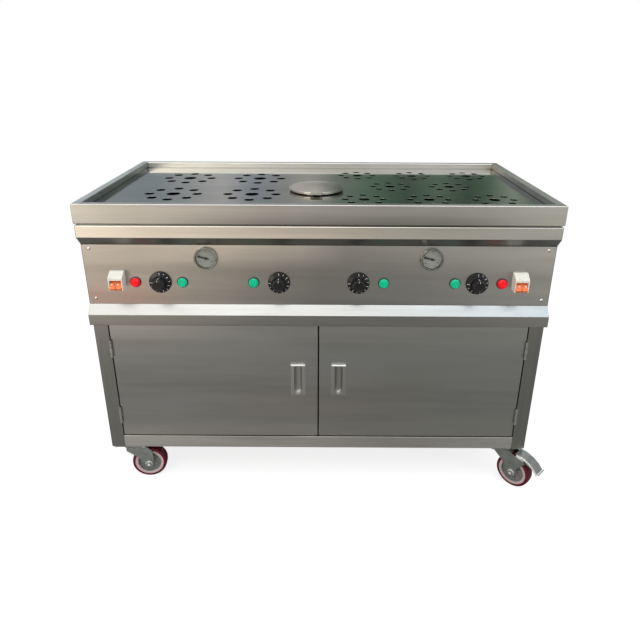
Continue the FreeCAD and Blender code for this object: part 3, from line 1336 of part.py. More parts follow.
def makeDrains():
    """Under each tank a pipe, a ball valve with a lever and an open outlet stub."""
    pipes = []
    valves = []
    radius = "Sizes.drainRadius"
    valve = "Derived.valveHeight"
    pipe = makeBody("rightDrainPipe")
    low = f"{valve} + Sizes.valveRise"
    high = "Derived.tankBottom"
    turn(pipe, "pipe", polygon([
        ("Sizes.drainBore", low),
        (radius, low),
        (radius, f"{high} - Sizes.pipeFlangeThickness"),
        (f"{radius} + Sizes.pipeFlange", f"{high} - Sizes.pipeFlangeThickness"),
        (f"{radius} + Sizes.pipeFlange", high),
        ("Sizes.drainBore", high),
    ]))
    place(pipe, "Derived.halfCentre", "Sizes.drainDepth", "0")
    pipes = [mirror(pipe, "leftDrainPipe"), pipe]
    body = makeBody("rightDrainValve")
    turn(body, "valveBody", polygon([
        ("Sizes.drainBore", f"{valve} + Sizes.valveRise"),
        (f"{radius} + 5", f"{valve} + Sizes.valveRise"),
        (f"{radius} + 5", f"{valve} + 4"),
        (f"{radius} + 7", f"{valve} + 2"),
        (f"{radius} + 7", f"{valve} - 10"),
        (f"{radius} + 3", f"{valve} - 20"),
        (radius, f"{valve} - 20"),
        (radius, f"{valve} - 60"),
        ("Sizes.drainBore", f"{valve} - 60"),
        ("Sizes.drainBore", f"{valve} - 18"),
        ("1", f"{valve} - 12"),
        ("1", f"{valve} + 4"),
        ("Sizes.drainBore", f"{valve} + 8"),
    ]))
    boss = f"-({radius} + Sizes.stemBossReach)"
    add(body, "stemBoss", "XZ", boss, f"-{radius}", circle("0", valve, "Sizes.stemBossRadius"))
    cut(body, "stemBore", "XZ", f"{boss} - 1", f"-{radius} + 3", circle(
        "0", valve, "Sizes.stemRadius + Sizes.runningFit"))
    place(body, "Derived.halfCentre", "Sizes.drainDepth", "0")
    valves = [mirror(body, "leftDrainValve"), body]
    group("drain_pipes", pipes)
    group("drain_valves", valves)
    for side, sign in (("left", "-"), ("right", "")):
        lever = makeBody(f"drain_lever_{side}")
        face = f"-({radius} + Sizes.stemBossReach + Sizes.holeClearance)"
        half = "Sizes.leverHalf"
        end = "Sizes.leverLength"
        add(lever, "hub", "XZ", f"{face} - Sizes.leverHubThickness", face, circle("0", "0",
            "Sizes.leverHubRadius"))
        add(lever, "stem", "XZ", face, f"-{radius} + 1", circle("0", "0", "Sizes.stemRadius"))
        add(lever, "handle", "XZ", f"{face} - 5", f"{face} - 2", rectangle("0", end, f"-{half}", half))
        roundEdges(lever, "handleEnd", 1, [(end, f"-{half}"), (end, half)], "Sizes.leverRound")
        nodes[f"drain_lever_{side}"] = place(lever, f"{sign}Derived.halfCentre", "Sizes.drainDepth",
            valve)


def makeCableGland():
    body = makeBody("cable_gland")
    bore = "Sizes.glandBore"
    back = "Derived.bodyBack"
    across = f"({bore} + Sizes.glandHexMargin)"
    hexagon = [(f"{across} * cos({angle})", f"{across} * sin({angle})") for angle in range(0, 360, 60)]
    flange = f"{back} + Sizes.glandFlangeThickness"
    inside = f"{back} - Sizes.glandShankLength"
    shift = {"across": "-Derived.glandX", "along": "Derived.glandHeight"}
    add(body, "outerFlange", "XZ", back, flange, polygon(hexagon), **shift)
    add(body, "shank", "XZ", inside, back, circle("0", "0", f"{bore} + Sizes.glandShankWall"), **shift)
    add(body, "lockNut", "XZ", f"{back} - Sizes.glandNutDepth", f"{back} - Sizes.sheetThickness",
        polygon(hexagon), **shift)
    add(body, "cap", "XZ", flange, f"{flange} + Sizes.glandCapLength",
        circle("0", "0", f"{bore} + Sizes.glandCapWall"), **shift)
    cut(body, "bore", "XZ", f"{inside} - 1", f"{flange} + Sizes.glandCapLength + 1", circle("0", "0",
        bore), **shift)
    keep(body)


casterPlaces = {
    "front_right": (1, -1, "frontRightTurn", True),
    "front_left": (-1, -1, "frontLeftTurn", False),
    "rear_left": (-1, 1, "frontRightTurn", True),
    "rear_right": (1, 1, "frontLeftTurn", False),
}


def makeCasters():
    """Swivel casters; a rear one has the turn of the front one diagonally opposite it, half round."""
    plates = []
    top = "Derived.forkTop"
    race = f"{top} - Sizes.racewayHeight"
    crown = f"{race} - Sizes.forkSheet"
    for place_, (signX, signY, turnName, braked) in casterPlaces.items():
        spot = (f"{signX} * Derived.casterX", f"{signY} * Derived.casterY", "0")
        angle = value(f"Sizes.{turnName}") + (180 if signY > 0 else 0)
        side = place_.title().replace("_", "")
        plate = makeBody(f"casterPlate{side}")
        halfX = "Sizes.casterPlateLength / 2"
        halfY = "Sizes.casterPlateWidth / 2"
        corners = [(f"-{halfX}", f"-{halfY}"), (halfX, f"-{halfY}"), (halfX, halfY), (f"-{halfX}", halfY)]
        add(plate, "plate", "XY", top, "Sizes.cabinetBase", polygon(corners))
        roundEdges(plate, "plateCorners", 2, corners, "Sizes.plateCorner")
        turn(plate, "raceway", polygon([
            ("0", top),
            ("Sizes.racewayRadius", top),
            ("Sizes.racewayRadius", f"{race} + Sizes.racewayHeight / 2"),
            ("Sizes.racewayLowRadius", race),
            ("Sizes.kingPinRadius", race),
            ("Sizes.kingPinRadius", f"{crown} - Sizes.holeClearance"),
            ("Sizes.kingPinHeadRadius", f"{crown} - Sizes.holeClearance"),
            ("Sizes.kingPinHeadRadius - 1", f"{crown} - Sizes.kingPinHeadHeight"),
            ("0", f"{crown} - Sizes.kingPinHeadHeight"),
        ]))
        plates.append(place(plate, *spot))
        fork = makeFork(f"fork{side}", crown, race, braked)
        axle = makeAxle(f"axle{side}")
        for piece in (fork, axle):
            place(piece, *spot, (0, 0, 1), angle)
        group(f"caster_fork_{place_}", [fork, axle])
        wheel = makeWheel(f"caster_wheel_{place_}")
        nodes[f"caster_wheel_{place_}"] = place(wheel, *spot, (0, 0, 1), angle)
        if braked:
            pedal = makePedal(f"brake_pedal_{place_}")
            nodes[f"brake_pedal_{place_}"] = place(pedal, *spot, (0, 0, 1), angle)
    group("caster_plates", plates)


def makeFork(name, crown, race, braked):
    """Two legs under a crown; the wheel trails along the piece's own +X axis."""
    body = makeBody(name)
    half = "Sizes.forkGap / 2"
    outer = f"{half} + Sizes.forkSheet"
    trail = "Sizes.casterTrail"
    axle = "Sizes.wheelRadius"
    add(body, "crown", "XY", crown, race, rectangle(
        "-Sizes.crownFront", "Sizes.crownBack", f"-({outer})", outer))
    roundEdges(body, "crownCorners", 2, [
        ("-Sizes.crownFront", f"-({outer})"), ("-Sizes.crownFront", outer)], "Sizes.crownCorner")
    shoulder = [(f"{trail} + 32", f"{crown} - 5"), (f"{trail} + 36", f"{crown} - 14"),
                (f"{trail} + 26", f"{crown} - 24")] if braked else [(f"{trail} + 12", f"{crown} - 14")]
    outline = [("-16", race), ("Sizes.crownBack", race)]
    outline += [("46", f"{crown} - 2")] if braked else []
    outline += shoulder
    outline += [(f"{trail} + 15", f"{axle} + 20"), (f"{trail} + 12", f"{axle} - 4"), (f"{trail} + 6",
        f"{axle} - 12"),
                (f"{trail} - 6", f"{axle} - 12"), (f"{trail} - 12", f"{axle} - 4"),
                (f"{trail} - 24", f"{axle} + 22"), ("-16", f"{crown} - 12")]
    for side, sign in (("Near", "-"), ("Far", "")):
        low, high = (f"-({outer})", f"-{half}") if sign else (half, outer)
        add(body, f"leg{side}", "XZ", low, high, polygon(outline))
    cut(body, "pinBore", "XY", f"{crown} - 1", f"{race} + 1", circle("0", "0",
        "Sizes.kingPinRadius + Sizes.holeClearance"))
    cut(body, "axleBore", "XZ", f"-({outer}) - 1", f"{outer} + 1", circle(trail, axle,
        "Sizes.axleRadius"))
    if braked:
        add(body, "pedalPin", "XZ", f"-({outer}) - 2", f"{outer} + 2", circle(
            f"{trail} + Sizes.pedalPinTrail", f"{crown} - Sizes.pedalPinDrop", "Sizes.pedalPinRadius"))
    return body


def makeAxle(name):
    body = makeBody(name)
    outer = "Sizes.forkGap / 2 + Sizes.forkSheet"
    centre = ("Sizes.casterTrail", "Sizes.wheelRadius")
    add(body, "bolt", "XZ", f"-({outer})", outer, circle(*centre, "Sizes.axleRadius"))
    hexagon = [(f"Sizes.casterTrail + Sizes.axleHexRadius * cos({angle})",
                f"Sizes.wheelRadius + Sizes.axleHexRadius * sin({angle})") for angle in range(0, 360, 60)]
    add(body, "head", "XZ", f"-({outer}) - Sizes.axleHeadHeight", f"-({outer})", polygon(hexagon))
    add(body, "nut", "XZ", outer, f"{outer} + Sizes.axleNutHeight", polygon(hexagon))
    return body


def makeWheel(name):
    """Crowned tread on a dished core with a plain hub bore."""
    body = makeBody(name)
    half = "Sizes.wheelWidth / 2"
    hub = "Sizes.forkGap / 2 - 1"
    bore = "Sizes.axleRadius + Sizes.runningFit"
    radius = "Sizes.wheelRadius"
    sketch = makeSketch(body, "wheelSection", "XY", "Sizes.wheelRadius", "Sizes.casterTrail")
    side = [
        (bore, hub),
        ("Sizes.hubRadius", hub),
        ("Sizes.dishInner", f"{half} - 5"),
        ("Sizes.dishOuter", f"{half} - 6"),
        ("Sizes.ringInner", half),
        ("Sizes.ringInner + Sizes.ringWidth", half),
        (f"{radius} - Sizes.treadShoulder", f"{half} - 2.4"),
        (f"{radius} - Sizes.treadCrown", f"{half} - 7"),
        (radius, f"{half} - 13"),
    ]
    polygon([(across, f"-({along})") for across, along in side] + side[::-1])(sketch)
    tread = body.newObject("PartDesign::Revolution", "tread")
    tread.Profile = sketch
    tread.ReferenceAxis = (sketch, ["V_Axis"])
    tread.Angle = 360
    return body


def makePedal(name):
    """A bent tread plate with side cheeks on the pin behind the crown."""
    body = makeBody(name)
    crown = "Derived.forkTop - Sizes.racewayHeight - Sizes.forkSheet"
    trail = "Sizes.casterTrail"
    pinX = f"{trail} + Sizes.pedalPinTrail"
    pinZ = f"{crown} - Sizes.pedalPinDrop"
    half = "Sizes.pedalHalf"
    cheekFace = f"{half} - Sizes.pedalCheek"
    top = [(f"{trail} + 4", f"{crown} + 3"), (f"{pinX} - 4", f"{crown} + 2"), (f"{trail} + 46",
        f"{crown} - 7"),
           (f"{trail} + 62", f"{crown} - 19"), (f"{trail} + 74", f"{crown} - 33"), (f"{trail} + 79",
               f"{crown} - 30")]
    add(body, "plate", "XZ", f"-{half}", half, foldedSheet(top))
    cheek = [(f"{trail} + 4", f"{crown} + 3.5"), (f"{trail} + 5", f"{crown} - 1"), (f"{pinX} - 6",
        f"{pinZ} - 4"),
             (f"{pinX} + 5", f"{pinZ} - 4"), (f"{trail} + 60", f"{crown} - 20"), (f"{trail} + 61",
                 f"{crown} - 18.5"),
             (f"{trail} + 46", f"{crown} - 6.5"), (f"{pinX} - 4", f"{crown} + 2.5")]
    for side, low, high in (("Near", f"-{half}", f"-({cheekFace})"), ("Far", cheekFace, half)):
        add(body, f"cheek{side}", "XZ", low, high, polygon(cheek))
    cut(body, "pinBore", "XZ", f"-{half} - 1", f"{half} + 1", circle(
        pinX, pinZ, "Sizes.pedalPinRadius + Sizes.runningFit"))
    return body


makeTanks()
makeDrains()
makeCableGland()
makeCasters()

document.recompute()
for item in document.Objects:
    if "Invalid" in item.State or "Error" in item.State:
        raise RuntimeError(f"{item.Name} is {item.State}")
os.makedirs("parts", exist_ok=True)
for name, piece in nodes.items():
    shape = piece.Shape
    if shape.isNull() or not shape.isValid() or not shape.Solids:
        raise RuntimeError(f"{name} has no sound shape")
    piece.Label = name
    shape.exportStep(f"parts/{name}.step")
print(f"{len(nodes)} pieces written")
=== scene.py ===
import json
import math
from itertools import product

import bmesh
import bpy
from mathutils import Matrix, Vector

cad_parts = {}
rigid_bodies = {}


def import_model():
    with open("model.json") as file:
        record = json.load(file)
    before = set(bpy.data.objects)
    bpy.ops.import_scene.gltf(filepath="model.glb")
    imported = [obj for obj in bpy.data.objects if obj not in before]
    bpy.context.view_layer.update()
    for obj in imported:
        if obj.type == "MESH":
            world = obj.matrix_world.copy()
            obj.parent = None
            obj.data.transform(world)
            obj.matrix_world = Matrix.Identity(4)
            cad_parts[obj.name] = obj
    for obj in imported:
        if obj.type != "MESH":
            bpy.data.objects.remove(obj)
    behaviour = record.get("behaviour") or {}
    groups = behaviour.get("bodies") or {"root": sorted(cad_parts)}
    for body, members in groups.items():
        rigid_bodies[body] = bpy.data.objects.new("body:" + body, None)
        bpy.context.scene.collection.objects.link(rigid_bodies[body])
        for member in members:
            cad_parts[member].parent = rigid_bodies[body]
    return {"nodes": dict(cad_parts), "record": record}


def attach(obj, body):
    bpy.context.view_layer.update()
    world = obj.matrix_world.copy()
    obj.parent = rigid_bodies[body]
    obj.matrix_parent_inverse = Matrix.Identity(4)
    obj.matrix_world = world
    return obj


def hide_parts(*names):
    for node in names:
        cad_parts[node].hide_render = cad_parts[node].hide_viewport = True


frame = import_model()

nodes = frame["nodes"]
slotNames = {part["node"]: part["material_slot"] for part in frame["record"]["subparts"]}
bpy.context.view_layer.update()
print("frame loaded:", len(nodes), "nodes")


# camera, stage and lights

camera = {
    "place": (0.0049, -1.6259, 1.1803),
    "pitch": 21.38,  # degrees below the horizon
    "yaw": -0.07,
    "roll": 0.27,
    "focalPixels": 563.77,
    "framePixels": 640,
    "axisRow": 278.29,  # row of the optical axis
}


def makeCamera():
    data = bpy.data.cameras.new("camera")
    data.sensor_width = 36
    data.lens = camera["focalPixels"] / camera["framePixels"] * data.sensor_width
    data.shift_y = (camera["axisRow"] - camera["framePixels"] / 2) / camera["framePixels"]
    data.clip_start = 0.05
    data.clip_end = 200
    item = bpy.data.objects.new("camera", data)
    bpy.context.scene.collection.objects.link(item)
    tilt = Matrix.Rotation(math.radians(90 - camera["pitch"]), 4, "X")
    turn = Matrix.Rotation(math.radians(-camera["yaw"]), 4, "Z")
    roll = Matrix.Rotation(math.radians(camera["roll"]), 4, "Z")
    item.matrix_world = Matrix.Translation(camera["place"]) @ turn @ tilt @ roll
    bpy.context.scene.camera = item


# shader maths

def filled(item):
    # a colour of three numbers gets its fourth, and anything else stays
    return (*item, 1) if isinstance(item, tuple) and len(item) == 3 else item


class Signal:
    # one output socket, with arithmetic that adds Math nodes
    def __init__(self, tree, socket):
        self.tree = tree
        self.socket = socket

    def node(self, kind, settings=None, inputs=None, output=0):
        made = self.tree.nodes.new("ShaderNode" + kind)
        for name, setting in (settings or {}).items():
            setattr(made, name, setting)
        for name, item in (inputs or {}).items():
            target = made.inputs[name]
            if isinstance(item, Signal):
                self.tree.links.new(item.socket, target)
            else:
                target.default_value = filled(item) if target.type == "RGBA" else item
        return Signal(self.tree, made.outputs[output])

    def math(self, operation, *others):
        inputs = dict(enumerate((self, *others)))
        return self.node("Math", {"operation": operation}, inputs)

    def __add__(self, other):
        return self.math("ADD", other)

    def __sub__(self, other):
        return self.math("SUBTRACT", other)

    def __rsub__(self, other):
        return self.node("Math", {"operation": "SUBTRACT"}, {0: other, 1: self})

    def __mul__(self, other):
        return self.math("MULTIPLY", other)

    def __truediv__(self, other):
        return self.math("DIVIDE", other)

    def absolute(self):
        return self.math("ABSOLUTE")

    def split(self):
        # the x, y and z of a place or direction
        outputs = self.node("SeparateXYZ", None, {0: self}).socket.node.outputs
        return [Signal(self.tree, outputs[number]) for number in range(3)]

    def ramp(self, *stops):
        made = self.node("ValToRGB", None, {0: self})
        elements = made.socket.node.color_ramp.elements
        while len(elements) < len(stops):
            elements.new(0.5)
        for element, (place, colour) in zip(elements, stops):
            element.position = place
            element.color = filled(colour)
        return made

    def between(self, low, high):
        # 0 below low, 1 above high, smooth in between
        settings = {"interpolation_type": "SMOOTHSTEP", "clamp": True}
        return self.node("MapRange", settings, {0: self, 1: low, 2: high, 3: 0.0, 4: 1.0})

    def mix(self, first, second):
        # this signal is the factor between two colours
        return self.node("Mix", {"data_type": "RGBA"}, {0: self, 6: first, 7: second}, 2)

    def times(self, colour):
        # this colour multiplied by another
        settings = {"data_type": "RGBA", "blend_type": "MULTIPLY"}
        return self.node("Mix", settings, {0: 1.0, 6: self, 7: colour}, 2)


def objectCoordinates(tree):
    return Signal(tree, None).node("TexCoord", output=3)


def noise(tree, scale, detail, roughness, shift=(0, 0, 0)):
    coordinates = objectCoordinates(tree)
    place = coordinates.node("Mapping", None, {0: coordinates, 1: shift, 3: scale})
    inputs = {"Vector": place, "Scale": 1.0, "Detail": detail, "Roughness": roughness}
    return place.node("TexNoise", None, inputs)


def makeMaterial(name, build):
    material = bpy.data.materials.new(name)
    material.use_nodes = True
    tree = material.node_tree
    shader = tree.nodes["Principled BSDF"]
    for key, item in build(tree).items():
        target = shader.inputs[key]
        if isinstance(item, Signal):
            tree.links.new(item.socket, target)
        else:
            target.default_value = filled(item)
    return material


def makeWorld():
    world = bpy.data.worlds.new("studio")
    bpy.context.scene.world = world
    bpy.context.scene.view_settings.view_transform = "Standard"
    world.use_nodes = True
    tree = world.node_tree
    tree.nodes.clear()
    start = Signal(tree, None)
    across, depth, height = start.node("TexCoord", output=0).split()
    # the room in front: dim at floor level, bright overhead, warm on the left
    aisle = (across * 0.5 + 0.5).ramp(
        (0.20, (0.96, 0.84, 0.70)), (0.335, (0.94, 0.82, 0.69)), (0.40, (0.78, 0.70, 0.61)),
        (0.45, (0.50, 0.465, 0.425)), (0.50, (0.41, 0.395, 0.37)), (0.60, (0.42, 0.41, 0.385)),
        (0.665, (0.72, 0.71, 0.65)), (0.78, (0.80, 0.79, 0.74)))
    above = (height * 0.5 + 0.5).ramp(
        (0.0, (0.34, 0.33, 0.31)), (0.42, (0.38, 0.38, 0.37)), (0.56, (0.50, 0.50, 0.49)),
        (0.75, (0.62, 0.63, 0.64)), (1.0, (0.92, 0.94, 0.97)))
    room = (depth.between(0.1, -0.3) * height.between(0.30, 0.05)).mix(above, aisle)
    # the far side, which the polished deck mirrors: grey on the left, dark green on the right
    yard = (across * 0.5 + 0.5).ramp(
        (0.30, (0.30, 0.34, 0.36)), (0.36, (0.25, 0.29, 0.31)), (0.385, (0.34, 0.36, 0.37)),
        (0.415, (0.47, 0.46, 0.46)), (0.44, (0.27, 0.30, 0.335)), (0.47, (0.30, 0.305, 0.295)),
        (0.49, (0.40, 0.395, 0.365)), (0.515, (0.17, 0.21, 0.17)), (0.545, (0.10, 0.165, 0.11)),
        (0.575, (0.065, 0.10, 0.07)), (0.60, (0.11, 0.17, 0.115)), (0.625, (0.06, 0.09, 0.065)),
        (0.64, (0.085, 0.14, 0.09)), (0.66, (0.26, 0.31, 0.25)), (0.68, (0.11, 0.16, 0.11)),
        (0.72, (0.26, 0.28, 0.27)))
    far = depth.between(0.15, 0.45) * height.between(0.62, 0.40)
    horizon = depth.between(0.2, 0.5) * height.between(0.10, 0.06)
    room = horizon.mix(far.mix(room, yard), (0.9, 0.9, 0.9))
    # the camera itself sees plain white
    seen = start.node("LightPath", output=0)
    background = start.node("Background", None, {0: seen.mix(room, (1.0, 1.0, 1.0)), 1: 1.0})
    output = tree.nodes.new("ShaderNodeOutputWorld")
    tree.links.new(background.socket, output.inputs[0])


def makeFloor():
    floor = {"reach": 2.1, "segments": 96, "seenColour": 0.30, "seenGlow": 0.80}
    bm = bmesh.new()
    bmesh.ops.create_circle(bm, cap_ends=True, radius=floor["reach"], segments=floor["segments"])
    mesh = bpy.data.meshes.new("floor")
    bm.to_mesh(mesh)
    bm.free()
    item = bpy.data.objects.new("floor", mesh)
    bpy.context.scene.collection.objects.link(item)
    material = bpy.data.materials.new("paleFloor")
    material.use_nodes = True
    tree = material.node_tree
    tree.nodes.clear()
    start = Signal(tree, None)
    seen = start.node("LightPath", output=0)
    across, depth = objectCoordinates(tree).split()[:2]
    # polished steel mirrors this floor, whose colour for every ray but the camera's is painted
    # light: a warm pool of light at the far left, dim close by and in the middle
    distant = (across * 0.25 + 0.5).ramp(
        (0.15, (0.80, 0.68, 0.60)), (0.32, (0.56, 0.50, 0.445)), (0.43, (0.285, 0.28, 0.27)),
        (0.60, (0.275, 0.27, 0.26)), (0.78, (0.44, 0.43, 0.405)))
    close = across.between(0.5, -0.8).mix((0.255, 0.26, 0.25), (0.32, 0.32, 0.31))
    mirrored = depth.between(-1.1, -1.7).mix(close, distant)
    tone = seen.mix(mirrored, (floor["seenColour"],) * 3)
    matte = start.node("BsdfDiffuse", None, {0: tone})
    glow = start.node("Emission", None, {0: (1, 1, 1), 1: seen * floor["seenGlow"]})
    both = start.node("AddShader", None, {0: matte, 1: glow})
    output = tree.nodes.new("ShaderNodeOutputMaterial")
    tree.links.new(both.socket, output.inputs[0])
    mesh.materials.append(material)


lampTarget = (0, -0.2, 0.6)
stageLamps = {
    "overheadLamp": {"place": (0, -1.7, 3.2), "size": (5.0, 2.4), "power": 70, "colour": (1, 1, 1)},
    "leftLamp": {"place": (-2.3, -3.0, 1.0), "size": (1.5, 1.8), "power": 30,
                 "colour": (1.0, 0.90, 0.78)},
    "rightLamp": {"place": (3.0, -2.2, 1.6), "size": (1.0, 1.6), "power": 14,
                  "colour": (0.92, 0.97, 1.0)},
}


def makeLamp(name, place, size, power, colour):
    data = bpy.data.lights.new(name, "AREA")
    data.shape = "RECTANGLE"
    data.size, data.size_y = size
    data.energy = power
    data.color = colour
    item = bpy.data.objects.new(name, data)
    bpy.context.scene.collection.objects.link(item)
    aim = (Vector(lampTarget) - Vector(place)).to_track_quat("-Z", "Y")
    item.matrix_world = Matrix.Translation(place) @ aim.to_matrix().to_4x4()


makeCamera()
makeWorld()
makeFloor()
for name, settings in stageLamps.items():
    makeLamp(name, **settings)
print("camera, floor and lamps ready")


# materials
steelColour = (0.40, 0.395, 0.38)


def shaded(colour, share):
    # the colour lighter by a share of itself, or darker where the share is below 0
    return tuple(min(1.0, channel * (1 + share)) for channel in colour)


def brushed(tree, along):
    # fine hairlines with a few broader ones, 0 to 1: slow along one axis and quick across it
    def grooves(quick, detail, roughness, shift):
        scale = tuple(2.2 if axis == along else quick for axis in "xyz")
        return noise(tree, scale, detail, roughness, shift)

    hair = grooves(520.0, 3.0, 0.65, (0.3, 1.7, 0.9))
    broad = grooves(57.2, 2.0, 0.5, (4.1, 0.2, 2.6))
    return hair * 0.6 + broad * 0.4


wipeScales = {"x": (1.3, 8.0, 19.0), "y": (8.0, 1.3, 19.0), "z": (13.0, 13.0, 1.5)}


def steel(name, along="x", colour=steelColour, roughness=0.30, spread=0.10, grain=0.10,
          anisotropic=0.35, wave=0.0, mitred=False, stain=0.12, streak=0.5, zones=None):
    def build(tree):
        lines = brushed(tree, along)
        if mitred:
            # past the mitres the brushing runs front to back
            across, depth = (way.absolute() for way in objectCoordinates(tree).split()[:2])
            side = (across - 0.3).math("GREATER_THAN", depth)
            lines = lines + side * (brushed(tree, "y") - lines)
        cloud = noise(tree, (3.1, 3.7, 5.3), 4.0, 0.55, (1.3, 0.4, 2.2))
        smear = noise(tree, (9.0, 7.0, 14.0), 3.0, 0.6, (5.2, 3.3, 0.7)).between(0.52, 0.75)
        tone = lines.between(0.25, 0.75).mix(shaded(colour, -grain), shaded(colour, grain))
        worn = shaded(colour, -stain)
        tone = (cloud.between(0.45, 0.8) * 0.55).mix(tone, (worn[0], worn[1], worn[2] * 0.97))
        # long wiping marks that follow the brushing
        wipes = noise(tree, wipeScales[along], 3.0, 0.58, (7.1, 2.2, 4.4)).between(0.40, 0.68)
        tone = (wipes * streak).mix(tone, tone.times((0.74, 0.735, 0.72)))
        # painted light, shade and reflection, zone by zone across the sheet
        if zones:
            tone = tone.times(zones(*objectCoordinates(tree).split()))
        rough = (lines - 0.5) * spread + (cloud - 0.5) * spread * 0.9
        rough = rough + smear * spread * 0.4 + roughness
        if wave:
            # thin sheet is never quite flat
            swell = noise(tree, (2.6, 3.4, 3.4), 1.0, 0.4, (0.8, 2.9, 1.1)) * wave
            relief = {"Strength": 1.0, "Distance": 1.0, "Height": lines * 0.00002 + swell}
        else:
            relief = {"Strength": 0.05, "Distance": 0.001, "Height": lines}
        return {"Base Color": tone, "Metallic": 1.0, "Roughness": rough.math("MAXIMUM", 0.05),
                "Normal": lines.node("Bump", None, relief), "Anisotropic": anisotropic}

    return makeMaterial(name, build)


def plainMetal(name, colour, roughness, blotch=0.15, size=60.0, metal=1.0):
    # cast, plated or rolled metal with no brushing
    def build(tree):
        grain = noise(tree, (size * 6,) * 3, 3.0, 0.6)
        cloud = noise(tree, (size,) * 3, 4.0, 0.6, (2.0, 1.0, 3.0))
        tone = cloud.between(0.3, 0.7).mix(shaded(colour, -blotch), shaded(colour, blotch))
        rough = (grain - 0.5) * 0.12 + (cloud - 0.5) * 0.14 + roughness
        relief = {"Strength": 0.15, "Distance": 0.0004, "Height": grain}
        return {"Base Color": tone, "Metallic": metal, "Roughness": rough.math("MAXIMUM", 0.05),
                "Normal": grain.node("Bump", None, relief)}

    return makeMaterial(name, build)


def plastic(name, colour, roughness, blotch=0.12, coat=0.0, dent=0.12, gloss=0.5, glow=None):
    # moulded plastic or paint: a fine grain, a soft cloud, and for a lens a little glow
    def build(tree):
        grain = noise(tree, (960.0,) * 3, 2.0, 0.6)
        cloud = noise(tree, (120.0,) * 3, 4.0, 0.6, (1.0, 4.0, 2.0))
        tone = cloud.between(0.3, 0.7).mix(shaded(colour, -blotch), shaded(colour, blotch))
        rough = (grain - 0.5) * 0.10 + (cloud - 0.5) * 0.16 + roughness
        relief = {"Strength": dent, "Distance": 0.0003, "Height": grain}
        made = {"Base Color": tone, "Roughness": rough.math("MAXIMUM", 0.04), "Coat Weight": coat,
                "Normal": grain.node("Bump", None, relief), "Specular IOR Level": gloss}
        if glow:
            made["Emission Color"] = glow
            made["Emission Strength"] = 0.35
        return made

    return makeMaterial(name, build)


def clearGlass(name):
    # shows most at its slanting edge, with a trace of dust
    def build(tree):
        edge = Signal(tree, None).node("LayerWeight", None, {"Blend": 0.4}, 0)
        dust = noise(tree, (160,) * 3, 3.0, 0.6)
        return {"Base Color": (0.03, 0.032, 0.031), "Roughness": dust * 0.08 + 0.02,
                "Alpha": edge * 0.3 + dust * 0.03 + 0.03, "Specular IOR Level": 0.35}

    return makeMaterial(name, build)


# how bright each zone of a sheet is, as a share of its colour: painted light, shade and reflection
# that differ by face and fold, and the dark welds of the rim
# a pair of places, in metres, is where a zone fades in

rimPlaces = {
    "wallAcross": (0.5806, 0.5802), "wallDepth": (0.2806, 0.2802), "strip": (0.8485, 0.8495),
    "drop": (0.846, 0.798), "wallFoot": (0.8350, 0.8325), "leftStrip": (-0.579, -0.581),
    "leftWall": (-0.575, -0.5795), "rightWall": (0.575, 0.5795), "seam": (0.0012, 0.0004),
}
bandEdge = (0.7648, 0.7662)
ledgeEdge = (0.5555, 0.5565)
deckTop = (0.83175, 0.83188)


def alongWidth(x):
    # 0 at the left end of the counter, 1 at the right end
    return x / 1.2 + 0.5


def rimZones(x, y, z):
    # painted light, shade and reflection on the rim, face by face; only the mitre seams are the
    # steel's own
    s = rimPlaces
    across, depth = x.absolute(), y.absolute()
    wall = across.between(*s["wallAcross"]) * depth.between(*s["wallDepth"])
    strip = z.between(*s["strip"])
    drop = z.between(*s["drop"]) * x.between(-0.62, -0.1)
    # the front face: painted reflection, darker low down on the left half, lighter at the right
    # end, a flat middle tone at the left end
    face = drop.mix((0.57, 0.57, 0.565), (0.36, 0.36, 0.355))
    face = (x.between(0.30, 0.58) * 0.8).mix(face, (0.66, 0.65, 0.63))
    face = x.between(-0.30, -0.50).mix(face, (0.47, 0.47, 0.465))
    # the top strip lighter as painted light from above, and on the left a pale bluish painted
    # reflection
    tone = strip.mix(face, (0.72, 0.72, 0.71))
    tone = (strip * x.between(*s["leftStrip"])).mix(tone, (0.93, 0.98, 1.0))
    # the inner walls: painted reflection, light at the front and back, darker at the left and right
    # ends
    tone = wall.mix(tone, (1.0, 1.0, 0.97))
    tone = (x.between(*s["leftWall"]) * wall).mix(tone, (0.36, 0.39, 0.41))
    tone = (x.between(*s["rightWall"]) * wall).mix(tone, (0.45, 0.45, 0.43))
    # painted shade at the foot of the inner walls, strongest towards the ends
    corners = across.between(0.55, 0.58) * 0.55 + 0.35
    tone = (z.between(*s["wallFoot"]) * wall * corners).mix(tone, (0.10, 0.10, 0.10))
    # the welded mitres of the top
    seam = ((across - 0.3) - depth).absolute().between(*s["seam"]) * (1 - wall)
    return seam.mix(tone, (0.16, 0.15, 0.14))


def fasciaZones(x, y, z):
    # painted reflection along the band, lightest and warm at the middle and dimmer to the right;
    # painted shade on the slant below it
    band = alongWidth(x).ramp(
        (0.0, (0.80, 0.77, 0.73)), (0.25, (0.88, 0.85, 0.80)), (0.5, (0.95, 0.90, 0.84)),
        (0.75, (0.66, 0.65, 0.62)), (1.0, (0.56, 0.56, 0.55)))
    return z.between(*bandEdge).mix((0.32, 0.32, 0.31), band)


